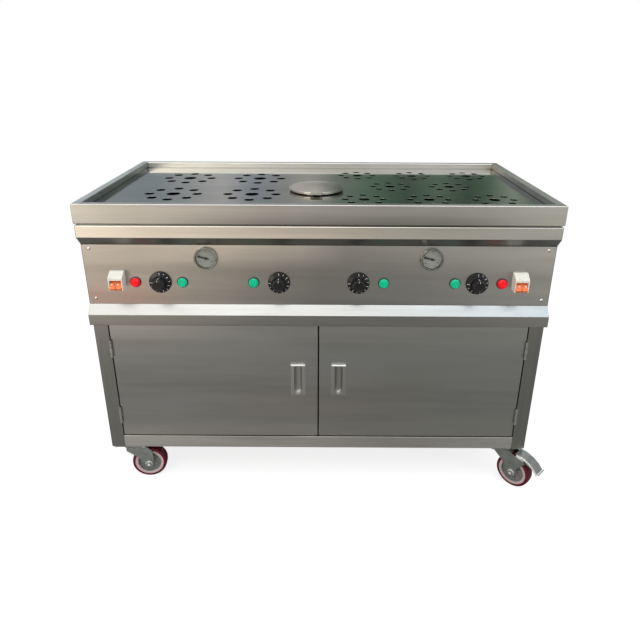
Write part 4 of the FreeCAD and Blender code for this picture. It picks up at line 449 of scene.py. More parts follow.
def panelZones(x, y, z):
    # painted reflection: a lighter band high on the panel, warm left of the middle, darker low down
    # and in the middle
    low = alongWidth(x).ramp(
        (0.0, (0.62, 0.59, 0.57)), (0.3, (0.56, 0.55, 0.53)), (0.5, (0.42, 0.415, 0.405)),
        (0.8, (0.48, 0.475, 0.46)), (1.0, (0.55, 0.55, 0.535)))
    high = alongWidth(x).ramp(
        (0.0, (0.72, 0.70, 0.67)), (0.12, (0.70, 0.68, 0.65)), (0.3, (0.90, 0.86, 0.81)),
        (0.46, (0.86, 0.82, 0.78)), (0.56, (0.57, 0.56, 0.545)), (0.8, (0.61, 0.61, 0.595)),
        (1.0, (0.67, 0.665, 0.645)))
    tone = z.between(0.668, 0.738).mix(low, high)
    # a warm patch in the lower left corner
    return (z.between(0.66, 0.60) * x.between(-0.30, -0.50)).mix(tone, (0.66, 0.53, 0.49))


def doorZones(x, y, z):
    # painted reflection: paler high up, most at the upper left, and along the foot of the left
    # door, darker along the foot of the right door; also warm and darker low down by the middle
    low = z.between(0.42, 0.25) * x.absolute().between(0.42, 0.08)
    pale = z.between(0.40, 0.52) * (x.between(-0.10, -0.42) * 0.75 + 0.25)
    tone = pale.mix((0.82, 0.82, 0.815), (1.0, 1.0, 0.99))
    foot = x.between(0.01, -0.01).mix((0.92, 0.905, 0.87), (1.08, 1.06, 1.0))
    return z.between(0.27, 0.17).mix((low * 0.7).mix(tone, (0.86, 0.79, 0.76)), foot)


def ledgeZones(x, y, z):
    # painted reflected light: the top of the ledge lighter than its front, turning a little cooler
    # towards the right
    top = alongWidth(x).ramp(
        (0.0, (0.93, 0.92, 0.89)), (0.5, (0.88, 0.89, 0.875)), (0.98, (0.72, 0.81, 0.87)))
    return z.between(*ledgeEdge).mix((0.80, 0.80, 0.79), top)


def deckZones(x, y, z):
    # painted shade: every face below the deck's top, the walls of the holes and the underside, is
    # dark; painted reflection: a lighter, warmer patch at the front middle of the top
    front = y.between(-0.215, -0.250) * x.absolute().between(0.20, 0.05)
    face = front.mix((0.74, 0.74, 0.74), (1.0, 0.96, 0.90))
    return z.between(*deckTop).mix((0.12, 0.12, 0.11), face)


def lidZones(x, y, z):
    # painted reflection: warm on the left, dark and greenish on the right
    return (x * 6.0 + 0.55).ramp(
        (0.1, (0.98, 0.93, 0.86)), (0.5, (0.86, 0.83, 0.77)), (0.9, (0.30, 0.33, 0.285)))


# the stainless parts share one steel; their colours are set part by part to how lit they look,
# painted light and shade: light for the rim, deck, fascia and panel, dark for the doors and pulls
slotMaterials = {
    "rim_steel": steel("rimSteel", colour=(0.92, 0.91, 0.88), roughness=0.32, wave=0.002,
                       grain=0.06, mitred=True, zones=rimZones),
    "deck_steel": steel("deckSteel", colour=(0.80, 0.80, 0.785), roughness=0.10, spread=0.08,
                        grain=0.06, anisotropic=0.1, wave=0.0009, stain=0.2, zones=deckZones),
    "lid_steel": steel("lidSteel", colour=(0.70, 0.69, 0.66), roughness=0.42, spread=0.16,
                       anisotropic=0.0, zones=lidZones),
    "fascia_steel": steel("fasciaSteel", colour=(0.90, 0.89, 0.86), wave=0.003, grain=0.06,
                          zones=fasciaZones),
    "panel_steel": steel("panelSteel", colour=(0.79, 0.78, 0.76), wave=0.003, grain=0.05,
                         spread=0.05, zones=panelZones),
    "housing_steel": steel("housingSteel", "y", wave=0.003),
    "cabinet_steel": steel("cabinetSteel", "y", roughness=0.36, wave=0.003),
    "frame_steel": steel("frameSteel", colour=(0.74, 0.71, 0.655), wave=0.003, streak=0.8,
                         mitred=True),
    "door_steel": steel("doorSteel", colour=(0.485, 0.48, 0.465), wave=0.004, grain=0.035,
                        spread=0.05, zones=doorZones),
    "liner_steel": steel("linerSteel", roughness=0.38, wave=0.003),
    "pull_steel": steel("pullSteel", "z", colour=(0.47, 0.465, 0.45), roughness=0.22),
    "hinge_steel": plainMetal("hingeSteel", (0.5, 0.5, 0.48), 0.28),
    "pin_steel": plainMetal("pinSteel", (0.45, 0.45, 0.44), 0.25),
    # the tanks kept dark as painted shade, so the deck's holes look dark
    "tank_steel": plainMetal("tankSteel", (0.20, 0.195, 0.185), 0.42, size=20.0),
    "element_steel": plainMetal("elementSteel", (0.24, 0.22, 0.20), 0.42, 0.3),
    "thermostat_case": plainMetal("thermostatCase", (0.42, 0.42, 0.40), 0.42),
    "knob_black": plastic("knobBlack", (0.008, 0.008, 0.009), 0.28, dent=0.03, gloss=0.32),
    "lamp_black": plastic("lampBlack", (0.018, 0.018, 0.019), 0.38),
    "lens_red": plastic("lensRed", (0.66, 0.004, 0.012), 0.25, coat=0.15, gloss=0.3,
                        glow=(0.75, 0.0, 0.01)),
    "lens_green": plastic("lensGreen", (0.0, 0.36, 0.19), 0.25, coat=0.15, gloss=0.3,
                          glow=(0.0, 0.34, 0.17)),
    "breaker_white": plastic("breakerWhite", (0.66, 0.65, 0.60), 0.38, 0.05),
    "toggle_orange": plastic("toggleOrange", (0.80, 0.16, 0.025), 0.35, 0.08),
    "gauge_bezel": plainMetal("gaugeBezel", (0.36, 0.36, 0.35), 0.22),
    "dial_face": plastic("dialFace", (0.38, 0.405, 0.375), 0.5, 0.06, gloss=0.3),
    "gauge_glass": clearGlass("gaugeGlass"),
    "needle_black": plastic("needleBlack", (0.03, 0.03, 0.03), 0.4),
    "screw_steel": plainMetal("screwSteel", (0.6, 0.6, 0.58), 0.2),
    "drain_pipe": plainMetal("drainPipe", (0.5, 0.5, 0.48), 0.3),
    "valve_brass": plainMetal("valveBrass", (0.62, 0.45, 0.2), 0.32),
    "lever_red": plastic("leverRed", (0.5, 0.02, 0.015), 0.4),
    "gland_black": plastic("glandBlack", (0.02, 0.02, 0.021), 0.45),
    "catch_grey": plastic("catchGrey", (0.3, 0.3, 0.29), 0.5),
    "caster_zinc": plainMetal("casterZinc", (0.42, 0.44, 0.42), 0.36, 0.12),
    "pedal_zinc": plainMetal("pedalZinc", (0.36, 0.38, 0.36), 0.36, 0.16),
    "wheel_tread": plastic("wheelTread", (0.105, 0.004, 0.016), 0.38, 0.18, gloss=0.35),
}
finishes = {
    "ledge": steel("ledgeSteel", colour=(0.42, 0.415, 0.405), wave=0.005, grain=0.05,
                   zones=ledgeZones),
    # the posts a darker copy of the steel, painted shade
    "post": steel("postSteel", "z", colour=(0.31, 0.305, 0.29), wave=0.003),
    "pull": steel("pressedPull", "z", colour=(0.42, 0.415, 0.405), roughness=0.46, grain=0.05),
    # a lighter copy of the metal, painted glint: on bolt heads, washers, axle nuts, the pedals'
    # edges and the pull hoods
    "bright": plainMetal("brightZinc", (0.88, 0.89, 0.88), 0.30, 0.06, metal=0.45),
    "paint": plastic("markPaint", (0.74, 0.74, 0.71), 0.5, 0.06),
    "ink": plastic("dialInk", (0.03, 0.03, 0.03), 0.5),
    "ring": plastic("wheelRing", (0.52, 0.42, 0.41), 0.42, 0.08),
    "hub": plastic("wheelHub", (0.20, 0.205, 0.20), 0.45, 0.12),
    "slotDark": plastic("slotDark", (0.02, 0.02, 0.02), 0.6),
}
for node, slot in slotNames.items():
    mesh = nodes[node].data
    mesh.materials.clear()
    mesh.materials.append(slotMaterials[slot])
print("materials ready:", len(slotMaterials))


# mesh helpers

def bodyOf(node):
    return nodes[node].parent.name.split(":", 1)[1]


def merged(node):
    # a copy of the CAD mesh, its loose triangles joined and its flats cleaned
    bm = bmesh.new()
    bm.from_mesh(nodes[node].data)
    bmesh.ops.remove_doubles(bm, verts=bm.verts, dist=1e-6)
    bmesh.ops.dissolve_limit(bm, angle_limit=math.radians(0.5), verts=bm.verts, edges=bm.edges)
    return bm


def rounded(bm, edges, width, segments, keepClear=True):
    bmesh.ops.bevel(bm, geom=edges, offset=width, segments=segments, profile=0.5, affect="EDGES",
                    material=-1, clamp_overlap=keepClear)


def edgesOf(faces):
    # each edge once, always in the same order
    return list(dict.fromkeys(edge for face in faces for edge in face.edges))


def softenEdges(bm, width, segments=2, angle=28):
    sharp = math.radians(angle)
    rounded(bm, [edge for edge in bm.edges if edge.is_manifold and edge.calc_face_angle(0) > sharp],
            width, segments)


def finishPiece(name, bm, materials, body, replaced=(), smooth=35, recalculate=True):
    bmesh.ops.remove_doubles(bm, verts=bm.verts, dist=1e-7)
    if recalculate:
        bmesh.ops.recalc_face_normals(bm, faces=bm.faces)
    mesh = bpy.data.meshes.new(name)
    bm.to_mesh(mesh)
    bm.free()
    for material in materials:
        mesh.materials.append(material)
    mesh.polygons.foreach_set("use_smooth", [True] * len(mesh.polygons))
    mesh.set_sharp_from_angle(angle=math.radians(smooth))
    item = bpy.data.objects.new(name, mesh)
    bpy.context.scene.collection.objects.link(item)
    # flats stay flat beside eased edges
    weighted = item.modifiers.new("weightedNormals", "WEIGHTED_NORMAL")
    weighted.mode = "FACE_AREA"
    weighted.keep_sharp = True
    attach(item, body)
    if replaced:
        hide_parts(*replaced)


def marked(bm, before, material):
    # every face made since before gets this material
    for face in bm.faces:
        if face not in before:
            face.material_index = material


def turned(bm, profile, centre, axis, steps=48, material=0):
    # a profile of (radius, distance along the axis) pairs, turned a full circle
    axis = Vector(axis).normalized()
    side = axis.orthogonal().normalized()
    before = set(bm.faces)
    start = Vector(centre)
    points = [bm.verts.new(start + side * radius + axis * along) for radius, along in profile]
    lines = [bm.edges.new(pair) for pair in zip(points, points[1:])]
    bmesh.ops.spin(bm, geom=points + lines, cent=centre, axis=axis, dvec=(0, 0, 0), angle=math.tau,
                   steps=steps, use_merge=True, use_duplicate=False)
    marked(bm, before, material)


def block(bm, size, place, material=0, bevel=0.0, segments=2):
    # a bar of the given size with rounded edges, put in place by a matrix
    before = set(bm.faces)
    bmesh.ops.create_cube(bm, size=1.0, matrix=place @ Matrix.Diagonal((*size, 1)))
    if bevel:
        made = [face for face in bm.faces if face not in before]
        rounded(bm, edgesOf(made), bevel, segments)
    marked(bm, before, material)


def disc(bm, radius, thick, place, material=0, segments=24, bevel=0.0):
    # a short cylinder along the local z of its place
    before = set(bm.faces)
    bmesh.ops.create_cone(bm, cap_ends=True, radius1=radius, radius2=radius, depth=thick,
                          segments=segments, matrix=place)
    if bevel:
        ends = [face for face in bm.faces if face not in before and len(face.verts) > 4]
        rounded(bm, edgesOf(ends), bevel, 2)
    marked(bm, before, material)


def facing(centre, forward, up):
    # local x along forward, local z as near to up as it goes
    x = Vector(forward).normalized()
    y = Vector(up).normalized().cross(x).normalized()
    matrix = Matrix((x, y, x.cross(y))).transposed().to_4x4()
    matrix.translation = Vector(centre)
    return matrix


def figure(bm, words, size, place, material=0):
    # plain figures as thin printed paint
    curve = bpy.data.curves.new("figure", "FONT")
    curve.body = words
    curve.size = size
    curve.align_x = "CENTER"
    curve.align_y = "CENTER"
    curve.extrude = 0.00005
    curve.resolution_u = 2
    item = bpy.data.objects.new("figure", curve)
    mesh = bpy.data.meshes.new_from_object(item)
    mesh.transform(place)
    before = set(bm.faces)
    bm.from_mesh(mesh)
    marked(bm, before, material)
    bpy.data.objects.remove(item)
    bpy.data.meshes.remove(mesh)


# folded sheet and tube: the CAD shapes with small eased edges

edgeWidths = {
    "rim_frame": 0.0006, "upper_fascia": 0.0004, "control_panel": 0.0003, "lower_fascia": 0.0005,
    "upper_ends": 0.0004, "upper_back": 0.0004, "cabinet_back": 0.0003, "cabinet_sides": 0.0003,
    "cabinet_floor": 0.0003, "cabinet_ceiling": 0.0003, "corner_posts": 0.0010,
    "frame_rails": 0.0010, "left_door_skin": 0.0005, "right_door_skin": 0.0005,
    "left_door_liner": 0.0003, "right_door_liner": 0.0003, "left_hinge_leaves": 0.0002,
    "right_hinge_leaves": 0.0002, "frame_hinge_leaves": 0.0002, "deck_plate": 0.0003,
    "water_tanks": 0.0004, "thermostats": 0.0004, "door_catches": 0.0003, "drain_valves": 0.0004,
    "drain_lever_left": 0.0004, "drain_lever_right": 0.0004, "breaker_bodies": 0.0007,
    "toggle_left": 0.0009, "toggle_right": 0.0009,
}
otherFinish = {"lower_fascia": "ledge", "corner_posts": "post"}
toggleMarks = {
    "across": 0.514, "spotAway": 0.008, "spotRadius": 0.0021, "spotThick": 0.0006,
    "spotLevel": 0.6455, "spotFace": 0.3106, "lineSize": (0.0008, 0.0006, 0.020),
    "lineLevel": 0.638, "lineFace": 0.3104,
}


def markToggle(bm, side):
    # two pale spots at the head of the handle, and a dark line between its two poles
    s = toggleMarks
    middle = side * s["across"]
    for away in (-s["spotAway"], s["spotAway"]):
        spot = facing((middle + away, -s["spotFace"], s["spotLevel"]), (1, 0, 0), (0, -1, 0))
        disc(bm, s["spotRadius"], s["spotThick"], spot, 1, 20, 0.0002)
    block(bm, s["lineSize"], Matrix.Translation((middle, -s["lineFace"], s["lineLevel"])), 2)


for node, width in edgeWidths.items():
    bm = merged(node)
    softenEdges(bm, width, 1 if node == "deck_plate" else 2)
    slot = slotNames[node]
    materials = [finishes[otherFinish[node]] if node in otherFinish else slotMaterials[slot]]
    if node.startswith("toggle"):
        markToggle(bm, -1 if node.endswith("left") else 1)
        materials += [finishes["paint"], finishes["slotDark"]]
    finishPiece(node + "_piece", bm, materials, bodyOf(node), (node,))
print("sheet, tube and moulded edges eased:", len(edgeWidths))


# lid: a pressed dome with a flat rim, a rolled edge and a bent tab

lidSizes = {
    "centre": (-0.008, -0.052), "bottom": 0.8355, "rimLevel": 0.842, "crown": 0.8499,
    "radius": 0.077, "flat": 0.069, "bead": 0.0016, "sheet": 0.0012, "steps": 96, "tabWidth": 0.034,
    "tabReach": 0.0145, "tabThick": 0.0016, "tabHidden": 0.004, "tabBend": 5, "tabCorner": 0.006,
    "tabEdge": 0.0004,
}


def makeLid():
    s = lidSizes
    bm = bmesh.new()
    rim, radius, bead, bottom = s["rimLevel"], s["radius"], s["bead"], s["bottom"]
    rise = s["crown"] - rim
    shares = [step / 10 for step in range(11)]
    dome = [(s["flat"] * share, rim + rise * (1 - share ** 2) ** 1.15) for share in shares]
    edge = [(radius - 0.0052, rim - 0.0004), (radius - 0.0044, rim - 0.0009),
            (radius - 0.0034, rim - 0.0006)]
    for degrees in (110, 75, 45, 15, -20, -50):
        turn = math.radians(degrees)
        edge.append((radius - bead * (1 - math.cos(turn)), rim - bead * (1 - math.sin(turn))))
    skirt = [(radius - 0.0018, rim - 0.0036), (radius - 0.0016, bottom + 0.0008),
             (radius - 0.0022, bottom), (radius - 0.0030, bottom + 0.0004),
             (radius - 0.0032, rim - 0.0036), (radius - 0.0062, rim - s["sheet"])]
    under = [(reach, level - s["sheet"]) for reach, level in reversed(dome)]
    turned(bm, dome + edge + skirt + under, (*s["centre"], 0), (0, 0, 1), s["steps"])
    # the tab: a tongue from under the rim, its end rounded and turned down a little
    x, y = s["centre"]
    front = y - radius - s["tabReach"]
    length = s["tabReach"] + s["tabHidden"]
    place = Matrix.Translation((x, front + length / 2, rim - 0.0017))
    place = place @ Matrix.Rotation(math.radians(s["tabBend"]), 4, "X")
    before = set(bm.verts)
    block(bm, (s["tabWidth"], length, s["tabThick"]), place)

    def climb(edge):
        return abs(edge.verts[0].co.z - edge.verts[1].co.z)

    tongue = {edge for vert in bm.verts if vert not in before for edge in vert.link_edges}
    corners = [edge for edge in bm.edges if edge in tongue and climb(edge) > 0.001
               and edge.verts[0].co.y < front + 0.001]
    rounded(bm, corners, s["tabCorner"], 6, False)
    tongue = [vert for vert in bm.verts if vert not in before]
    flats = dict.fromkeys(edge for vert in tongue for edge in vert.link_edges if climb(edge) < 1e-5)
    rounded(bm, list(flats), s["tabEdge"], 2, False)
    finishPiece("lid_piece", bm, [slotMaterials["lid_steel"]], "lid", ("lid",), 40)


makeLid()
print("lid made")


# control knobs: a skirt with a painted scale and a fluted grip

knobSizes = {
    "face": 0.2825, "level": 0.641, "skirt": 0.0284, "grip": 0.0180, "gripEnd": 0.0152,
    "reach": 0.027, "steps": 96, "flutes": 12, "fluteDepth": 0.0016, "fluteStart": 0.0125,
    "marks": 11, "sweep": 270, "markWidth": 0.0011, "markThick": 0.00022, "longMark": 0.0036,
    "shortMark": 0.0028, "markAway": 0.0249, "markOut": 0.00366, "figureSize": 0.0026,
    "figureAway": 0.0217, "figureOut": 0.00462, "fall": (0.0020, 0.0066),
    "facePointer": (0.0009, 0.0005, 0.0046), "sidePointer": (0.0009, 0.0150, 0.0007),
}
knobs = {"knob_outer_left": -0.407, "knob_inner_left": -0.102,
         "knob_inner_right": 0.102, "knob_outer_right": 0.407}


def makeKnob(node, across):
    s = knobSizes
    bm = bmesh.new()
    centre = Vector((across, -s["face"], s["level"]))
    out = Vector((0, -1, 0))
    skirt, grip, end = s["skirt"], s["grip"], s["gripEnd"]
    turned(bm, [(0, 0), (skirt - 0.0004, 0), (skirt, 0.0004), (skirt, 0.0018), (0.0277, 0.0027),
                (0.0262, 0.0032), (0.0196, 0.0052), (0.0188, 0.0058), (0.0186, 0.0062),
                (0, 0.0062)], centre, out, s["steps"])
    before = set(bm.verts)
    turned(bm, [(0, 0.0060), (grip, 0.0060), (grip, 0.0068), (grip - 0.0008, 0.0120),
                (end + 0.0006, 0.0235), (end, 0.0255), (end - 0.0006, 0.0264),
                (end - 0.0018, s["reach"]), (0.0112, s["reach"]), (0.0104, 0.0262), (0, 0.0258)],
           centre, out, s["steps"])
    for vert in bm.verts:
        offset = vert.co - centre
        reach = math.hypot(offset.x, offset.z)
        if vert not in before and reach > s["fluteStart"]:
            turn = math.atan2(offset.z, offset.x)
            dip = max(0.0, math.cos(turn * s["flutes"])) ** 0.7 * s["fluteDepth"]
            vert.co.x -= offset.x / reach * dip
            vert.co.z -= offset.z / reach * dip
    slope = math.atan2(*s["fall"])  # of the skirt where the scale is painted
    for number in range(s["marks"]):
        turn = math.radians(90 - s["sweep"] / (s["marks"] - 1) * number)
        radial = Vector((math.cos(turn), 0, math.sin(turn)))
        normal = (out * math.cos(slope) + radial * math.sin(slope)).normalized()
        along = radial * math.cos(slope) - out * math.sin(slope)
        middle = centre + radial * s["markAway"] + out * s["markOut"]
        long = number % 2 == 0
        block(bm, (s["longMark"] if long else s["shortMark"], s["markWidth"], s["markThick"]),
              facing(middle, along, normal), 1)
        if long:
            middle = centre + radial * s["figureAway"] + out * s["figureOut"]
            place = facing(middle, -radial.cross(out), normal)
            figure(bm, str(number * 10), s["figureSize"], place, 1)
    # pointer line up the grip and across its face
    place = Matrix.Translation(centre + Vector((0, -0.02690, 0.0128)))
    block(bm, s["facePointer"], place, 1)
    place = facing(centre + Vector((0, -0.0160, 0.0163)), (1, 0, 0), (0, 0.10, 1))
    block(bm, s["sidePointer"], place, 1)
    finishPiece(node + "_piece", bm, [slotMaterials["knob_black"], finishes["paint"]], node,
                (node,), 30)


for node, across in knobs.items():
    makeKnob(node, across)
print("knobs made:", len(knobs))


# pilot lamps: a stepped lens with a flat face and fine rings

lampSizes = {"face": 0.283, "level": 0.641, "radius": 0.0124, "reach": 0.0075, "steps": 64}
lamps = {"red_lenses": (-0.471, 0.471), "green_lenses": (-0.350, -0.167, 0.167, 0.350)}


def makeLenses(node, places, slot):
    s = lampSizes
    bm = bmesh.new()
    radius, reach = s["radius"], s["reach"]
    profile = [(0, 0), (radius, 0), (radius, 0.0022), (0.0121, 0.0034), (0.0114, 0.0044),
               (0.0106, 0.0050), (0.0102, 0.0048), (0.0099, 0.0052), (0.0096, reach - 0.0007),
               (0.0091, reach), (0.0076, reach), (0.0073, reach - 0.0004), (0.0070, reach),
               (0.0052, reach), (0.0049, reach - 0.0004), (0.0046, reach), (0, reach)]
    for across in places:
        turned(bm, profile, (across, -s["face"], s["level"]), (0, -1, 0), s["steps"])
    finishPiece(node + "_piece", bm, [slotMaterials[slot]], "counter", (node,), 25)


for node, places in lamps.items():
    makeLenses(node, places, slotNames[node])
print("lamp lenses made")


# thermometers: a printed dial and a balanced needle

gaugeSizes = {
    "across": 0.286, "level": 0.707, "dialFront": 0.2818, "dialRadius": 0.0251, "dialThick": 0.0008,
    "marks": 21, "sweep": 240, "longMark": (0.0036, 0.0007, 0.00012),
    "shortMark": (0.0020, 0.00035, 0.00012), "longAway": 0.0222, "shortAway": 0.0229,
    "figureSize": 0.0044, "figureAway": 0.0168, "ring": 0.0242, "needleFront": 0.2832,
    "needleTilt": 14, "needleLength": 0.0205, "needleTail": 0.0085, "needleWidth": 0.0026,
    "needleThick": 0.0006, "taper": 0.72,
}
needleHub = [(0, -0.0006), (0.0036, -0.0006), (0.0036, 0.0002), (0.0030, 0.0009),
             (0.0016, 0.0013), (0, 0.0013)]
needleSpindle = [(0, -0.0082), (0.0011, -0.0082), (0.0011, 0), (0, 0)]


def makeDials():
    s = gaugeSizes
    bm = bmesh.new()
    front = (1, 0, 0), (0, -1, 0)
    face = -s["dialFront"] - 0.0001
    for side in (-1, 1):
        centre = Vector((side * s["across"], 0, s["level"]))
        plate = facing(centre + Vector((0, face + s["dialThick"] / 2, 0)), *front)
        disc(bm, s["dialRadius"], s["dialThick"], plate, 0, 96, 0.0001)
        printed = centre + Vector((0, face - 0.00006, 0))
        for number in range(s["marks"]):
            turn = math.radians(210 - s["sweep"] / (s["marks"] - 1) * number)
            radial = Vector((math.cos(turn), 0, math.sin(turn)))
            kind = "short" if number % 5 else "long"
            middle = printed + radial * s[kind + "Away"]
            block(bm, s[kind + "Mark"], facing(middle, radial, front[1]), 1)
            if kind == "long":
                place = facing(printed + radial * s["figureAway"], *front)
                figure(bm, str(number * 5), s["figureSize"], place, 1)
        ring = s["ring"]
        turned(bm, [(ring, 0), (ring + 0.0003, 0), (ring + 0.0003, 0.0001), (ring, 0.0001)],
               centre + Vector((0, face, 0)), front[1], 96, 1)
    finishPiece("gauge_dials_piece", bm, [slotMaterials["dial_face"], finishes["ink"]], "counter",
                ("gauge_dials",))


def makeNeedle(side, word):
    s = gaugeSizes
    bm = bmesh.new()
    centre = Vector((side * s["across"], -s["needleFront"], s["level"]))
    tilt = math.radians(180 - s["needleTilt"])
    along = Vector((math.cos(tilt), 0, math.sin(tilt)))
    middle = centre + along * (s["needleLength"] - s["needleTail"]) / 2
    block(bm, (s["needleLength"] + s["needleTail"], s["needleWidth"], s["needleThick"]),
          facing(middle, along, (0, -1, 0)))
    for vert in bm.verts:  # narrower towards its tip
        if (vert.co - centre).dot(along) > 0:
            across = (vert.co - centre).cross(along).y
            vert.co += along.cross(Vector((0, 1, 0))) * across * s["taper"]
    turned(bm, needleHub, centre, (0, -1, 0), 40)
    turned(bm, needleSpindle, centre, (0, -1, 0), 20)
    node = "needle_" + word
    finishPiece(node + "_piece", bm, [slotMaterials["needle_black"]], node, (node,))


makeDials()
makeNeedle(-1, "left")
makeNeedle(1, "right")
print("gauges made")


# door pulls: a plate with a hood and a round-ended bowl pressed into it

pullSizes = {
    "across": 0.0557, "low": 0.302, "high": 0.402, "half": 0.0205, "front": 0.281,
    "bowlLow": 0.305, "bowlHigh": 0.398, "bowlHalf": 0.0110, "bowlFloor": 0.2672, "segments": 64,
    "bowlTurns": (8, 20, 34, 48, 62, 76, 86), "rim": 0.0012, "rimBack": (0.0008, 0.0022),
    "hood": (0.039, 0.0052, 0.0040), "hoodMiddle": 0.2834, "hoodEdge": 0.0014,
}


def extruded(bm, edges):
    made = bmesh.ops.extrude_edge_only(bm, edges=edges)["geom"]
    verts = [item for item in made if isinstance(item, bmesh.types.BMVert)]
    return verts, [item for item in made if isinstance(item, bmesh.types.BMEdge)]


def makePull(side, word):
    s = pullSizes
    bm = bmesh.new()
    lift = (s["bowlHigh"] - s["bowlLow"]) / 2 - s["bowlHalf"]

    def endCentre(vert):
        # the round end that a point belongs to, above or below the middle
        return lift if vert.co.y > 1e-6 else (-lift if vert.co.y < -1e-6 else 0)

    # local frame: x across, y up, z towards the viewer; the mouth of the bowl is a long circle
    ring = bmesh.ops.create_circle(bm, cap_ends=False, radius=s["bowlHalf"], segments=s["segments"])
    for vert in ring["verts"]:
        vert.co.y += endCentre(vert)
    mouth = list(bm.edges)
    edges = mouth
    depth = s["front"] - s["bowlFloor"]
    for degrees in s["bowlTurns"]:
        turn = math.radians(degrees)
        verts, edges = extruded(bm, edges)
        for vert in verts:
            shift = endCentre(vert)
            radial = Vector((vert.co.x, vert.co.y - shift, 0))
            if radial.length > 1e-9:
                radial = radial.normalized() * s["bowlHalf"] * math.cos(turn) ** 0.8
            vert.co = Vector((radial.x, radial.y + shift, -depth * math.sin(turn)))
    bmesh.ops.contextual_create(bm, geom=edges)
    # the plate around the mouth, its rim turned back to the door
    edges = mouth
    half, tall = s["half"], (s["high"] - s["low"]) / 2
    for inset, level in ((s["rim"], 0.0), (0.0, -s["rimBack"][0]), (0.0, -s["rimBack"][1])):
        verts, edges = extruded(bm, edges)
        wide, high = half - inset, tall - inset - lift
        for vert in verts:
            shift = endCentre(vert)
            across, along = vert.co.x / wide, (vert.co.y - shift) / high
            reach = max(abs(across), abs(along), 1e-9)
            vert.co = Vector((across / reach * wide, along / reach * high + shift, level))
    middle = (s["low"] + s["high"]) / 2
    across = side * s["across"]
    place = Matrix(((1, 0, 0, across), (0, 0, -1, -s["front"]), (0, 1, 0, middle), (0, 0, 0, 1)))
    bmesh.ops.transform(bm, matrix=place, verts=bm.verts)
    bmesh.ops.recalc_face_normals(bm, faces=bm.faces)
    # the hood lip over the top of the bowl, in the lighter metal: a painted highlight
    hood = Matrix.Translation((across, -s["hoodMiddle"], s["high"] - s["hood"][2] / 2))
    block(bm, s["hood"], hood, 1, s["hoodEdge"], 4)
    node = word + "_door_pull"
    finishPiece(node + "_piece", bm, [finishes["pull"], finishes["bright"]], word + "_door",
                (node,), 45, False)


makePull(-1, "left")
makePull(1, "right")
print("door pulls made")


# casters: turned wheels, forks with axle nuts, top plates with bolts and brake pedals with ridges

casterSizes = {
    "swivel": (0.5495, 0.2445), "axleAway": 0.044, "axleHeight": 0.050, "steps": 72, "spokes": 8,
    "turns": {"front_right": -45, "front_left": 5, "rear_left": 135, "rear_right": 185},
    # washer, nut and axle end: distance from the middle, radius, thickness, sides, eased edge
    "axleParts": ((0.0230, 0.0098, 0.0011, 36, 0.0003), (0.0252, 0.0080, 0.0040, 6, 0.0012),
                  (0.0275, 0.0040, 0.0016, 24, 0.0005)),
    "forkEdge": 0.0005, "plateEdge": 0.0004, "boltAcross": 0.0385, "boltDepth": 0.0245,
    "boltLevel": 0.1215, "boltHead": (0.0056, 0.0040), "boltDrop": 0.0024,
    "washer": (0.0072, 0.0010),
}
# half of each wheel's section, as (radius, distance from the middle) pairs
wheelTread = [(0.0412, 0.0147), (0.0422, 0.0156), (0.0445, 0.0160), (0.0470, 0.0154),
              (0.0488, 0.0134), (0.0497, 0.0095), (0.0500, 0.0040)]
wheelRing = [(0.0412, 0.0147), (0.0404, 0.0150), (0.0375, 0.0148), (0.0348, 0.0144),
             (0.0340, 0.0136)]
wheelWeb = [(0.0340, 0.0136), (0.0332, 0.0146), (0.0322, 0.0146), (0.0312, 0.0132),
            (0.0308, 0.0090), (0.0160, 0.0082), (0.0153, 0.0100), (0.0150, 0.0165),
            (0.0142, 0.0180), (0.0130, 0.0184), (0.0092, 0.0184), (0.0086, 0.0176),
            (0.0060, 0.0176), (0.0054, 0.0168), (0.0054, 0)]
spokeSizes = {"size": (0.0170, 0.0028, 0.0052), "away": 0.0230, "out": 0.0105, "edge": 0.0005}


def casterPlace(corner):
    x, y = casterSizes["swivel"]
    x = x if corner.endswith("right") else -x
    y = y if corner.startswith("rear") else -y
    turn = Matrix.Rotation(math.radians(casterSizes["turns"][corner]), 4, "Z")
    return Matrix.Translation((x, y, 0)) @ turn


def makeWheel(corner):
    s, spoke = casterSizes, spokeSizes
    place = casterPlace(corner)
    centre = place @ Vector((s["axleAway"], 0, s["axleHeight"]))
    axis = place.to_3x3() @ Vector((0, 1, 0))
    bm = bmesh.new()
    tread = wheelTread + [(radius, -along) for radius, along in reversed(wheelTread)]
    turned(bm, tread, centre, axis, s["steps"], 0)
    for side in (1, -1):
        for material, profile in ((1, wheelRing), (2, wheelWeb)):
            section = [(radius, along * side) for radius, along in profile]
            turned(bm, section, centre, axis, s["steps"], material)
        for number in range(s["spokes"]):
            turn = Matrix.Rotation(math.tau * (number + 0.5) / s["spokes"], 4, axis)
            radial = turn @ (place.to_3x3() @ Vector((1, 0, 0)))
            middle = centre + radial * spoke["away"] + axis * side * spoke["out"]
            block(bm, spoke["size"], facing(middle, radial, axis * side), 2, spoke["edge"], 1)
    node = "caster_wheel_" + corner
    materials = [slotMaterials["wheel_tread"], finishes["ring"], finishes["hub"]]
    finishPiece(node + "_piece", bm, materials, node, (node,), 40)


# zinc, and its lighter copy as painted glint
zincParts = [slotMaterials["caster_zinc"], finishes["bright"]]


def makeFork(corner):
    s = casterSizes
    node = "caster_fork_" + corner
    bm = merged(node)
    softenEdges(bm, s["forkEdge"])
    place = casterPlace(corner)
    sideways = Matrix.Rotation(math.radians(90), 4, "X")
    # washers, nuts and axle ends in the lighter metal, a painted glint
    for side in (1, -1):
        for away, radius, thick, sides, edge in s["axleParts"]:
            spot = Matrix.Translation((s["axleAway"], side * away, s["axleHeight"]))
            disc(bm, radius, thick, place @ spot @ sideways, 1, sides, edge)
    finishPiece(node + "_piece", bm, zincParts, node, (node,), 35, False)


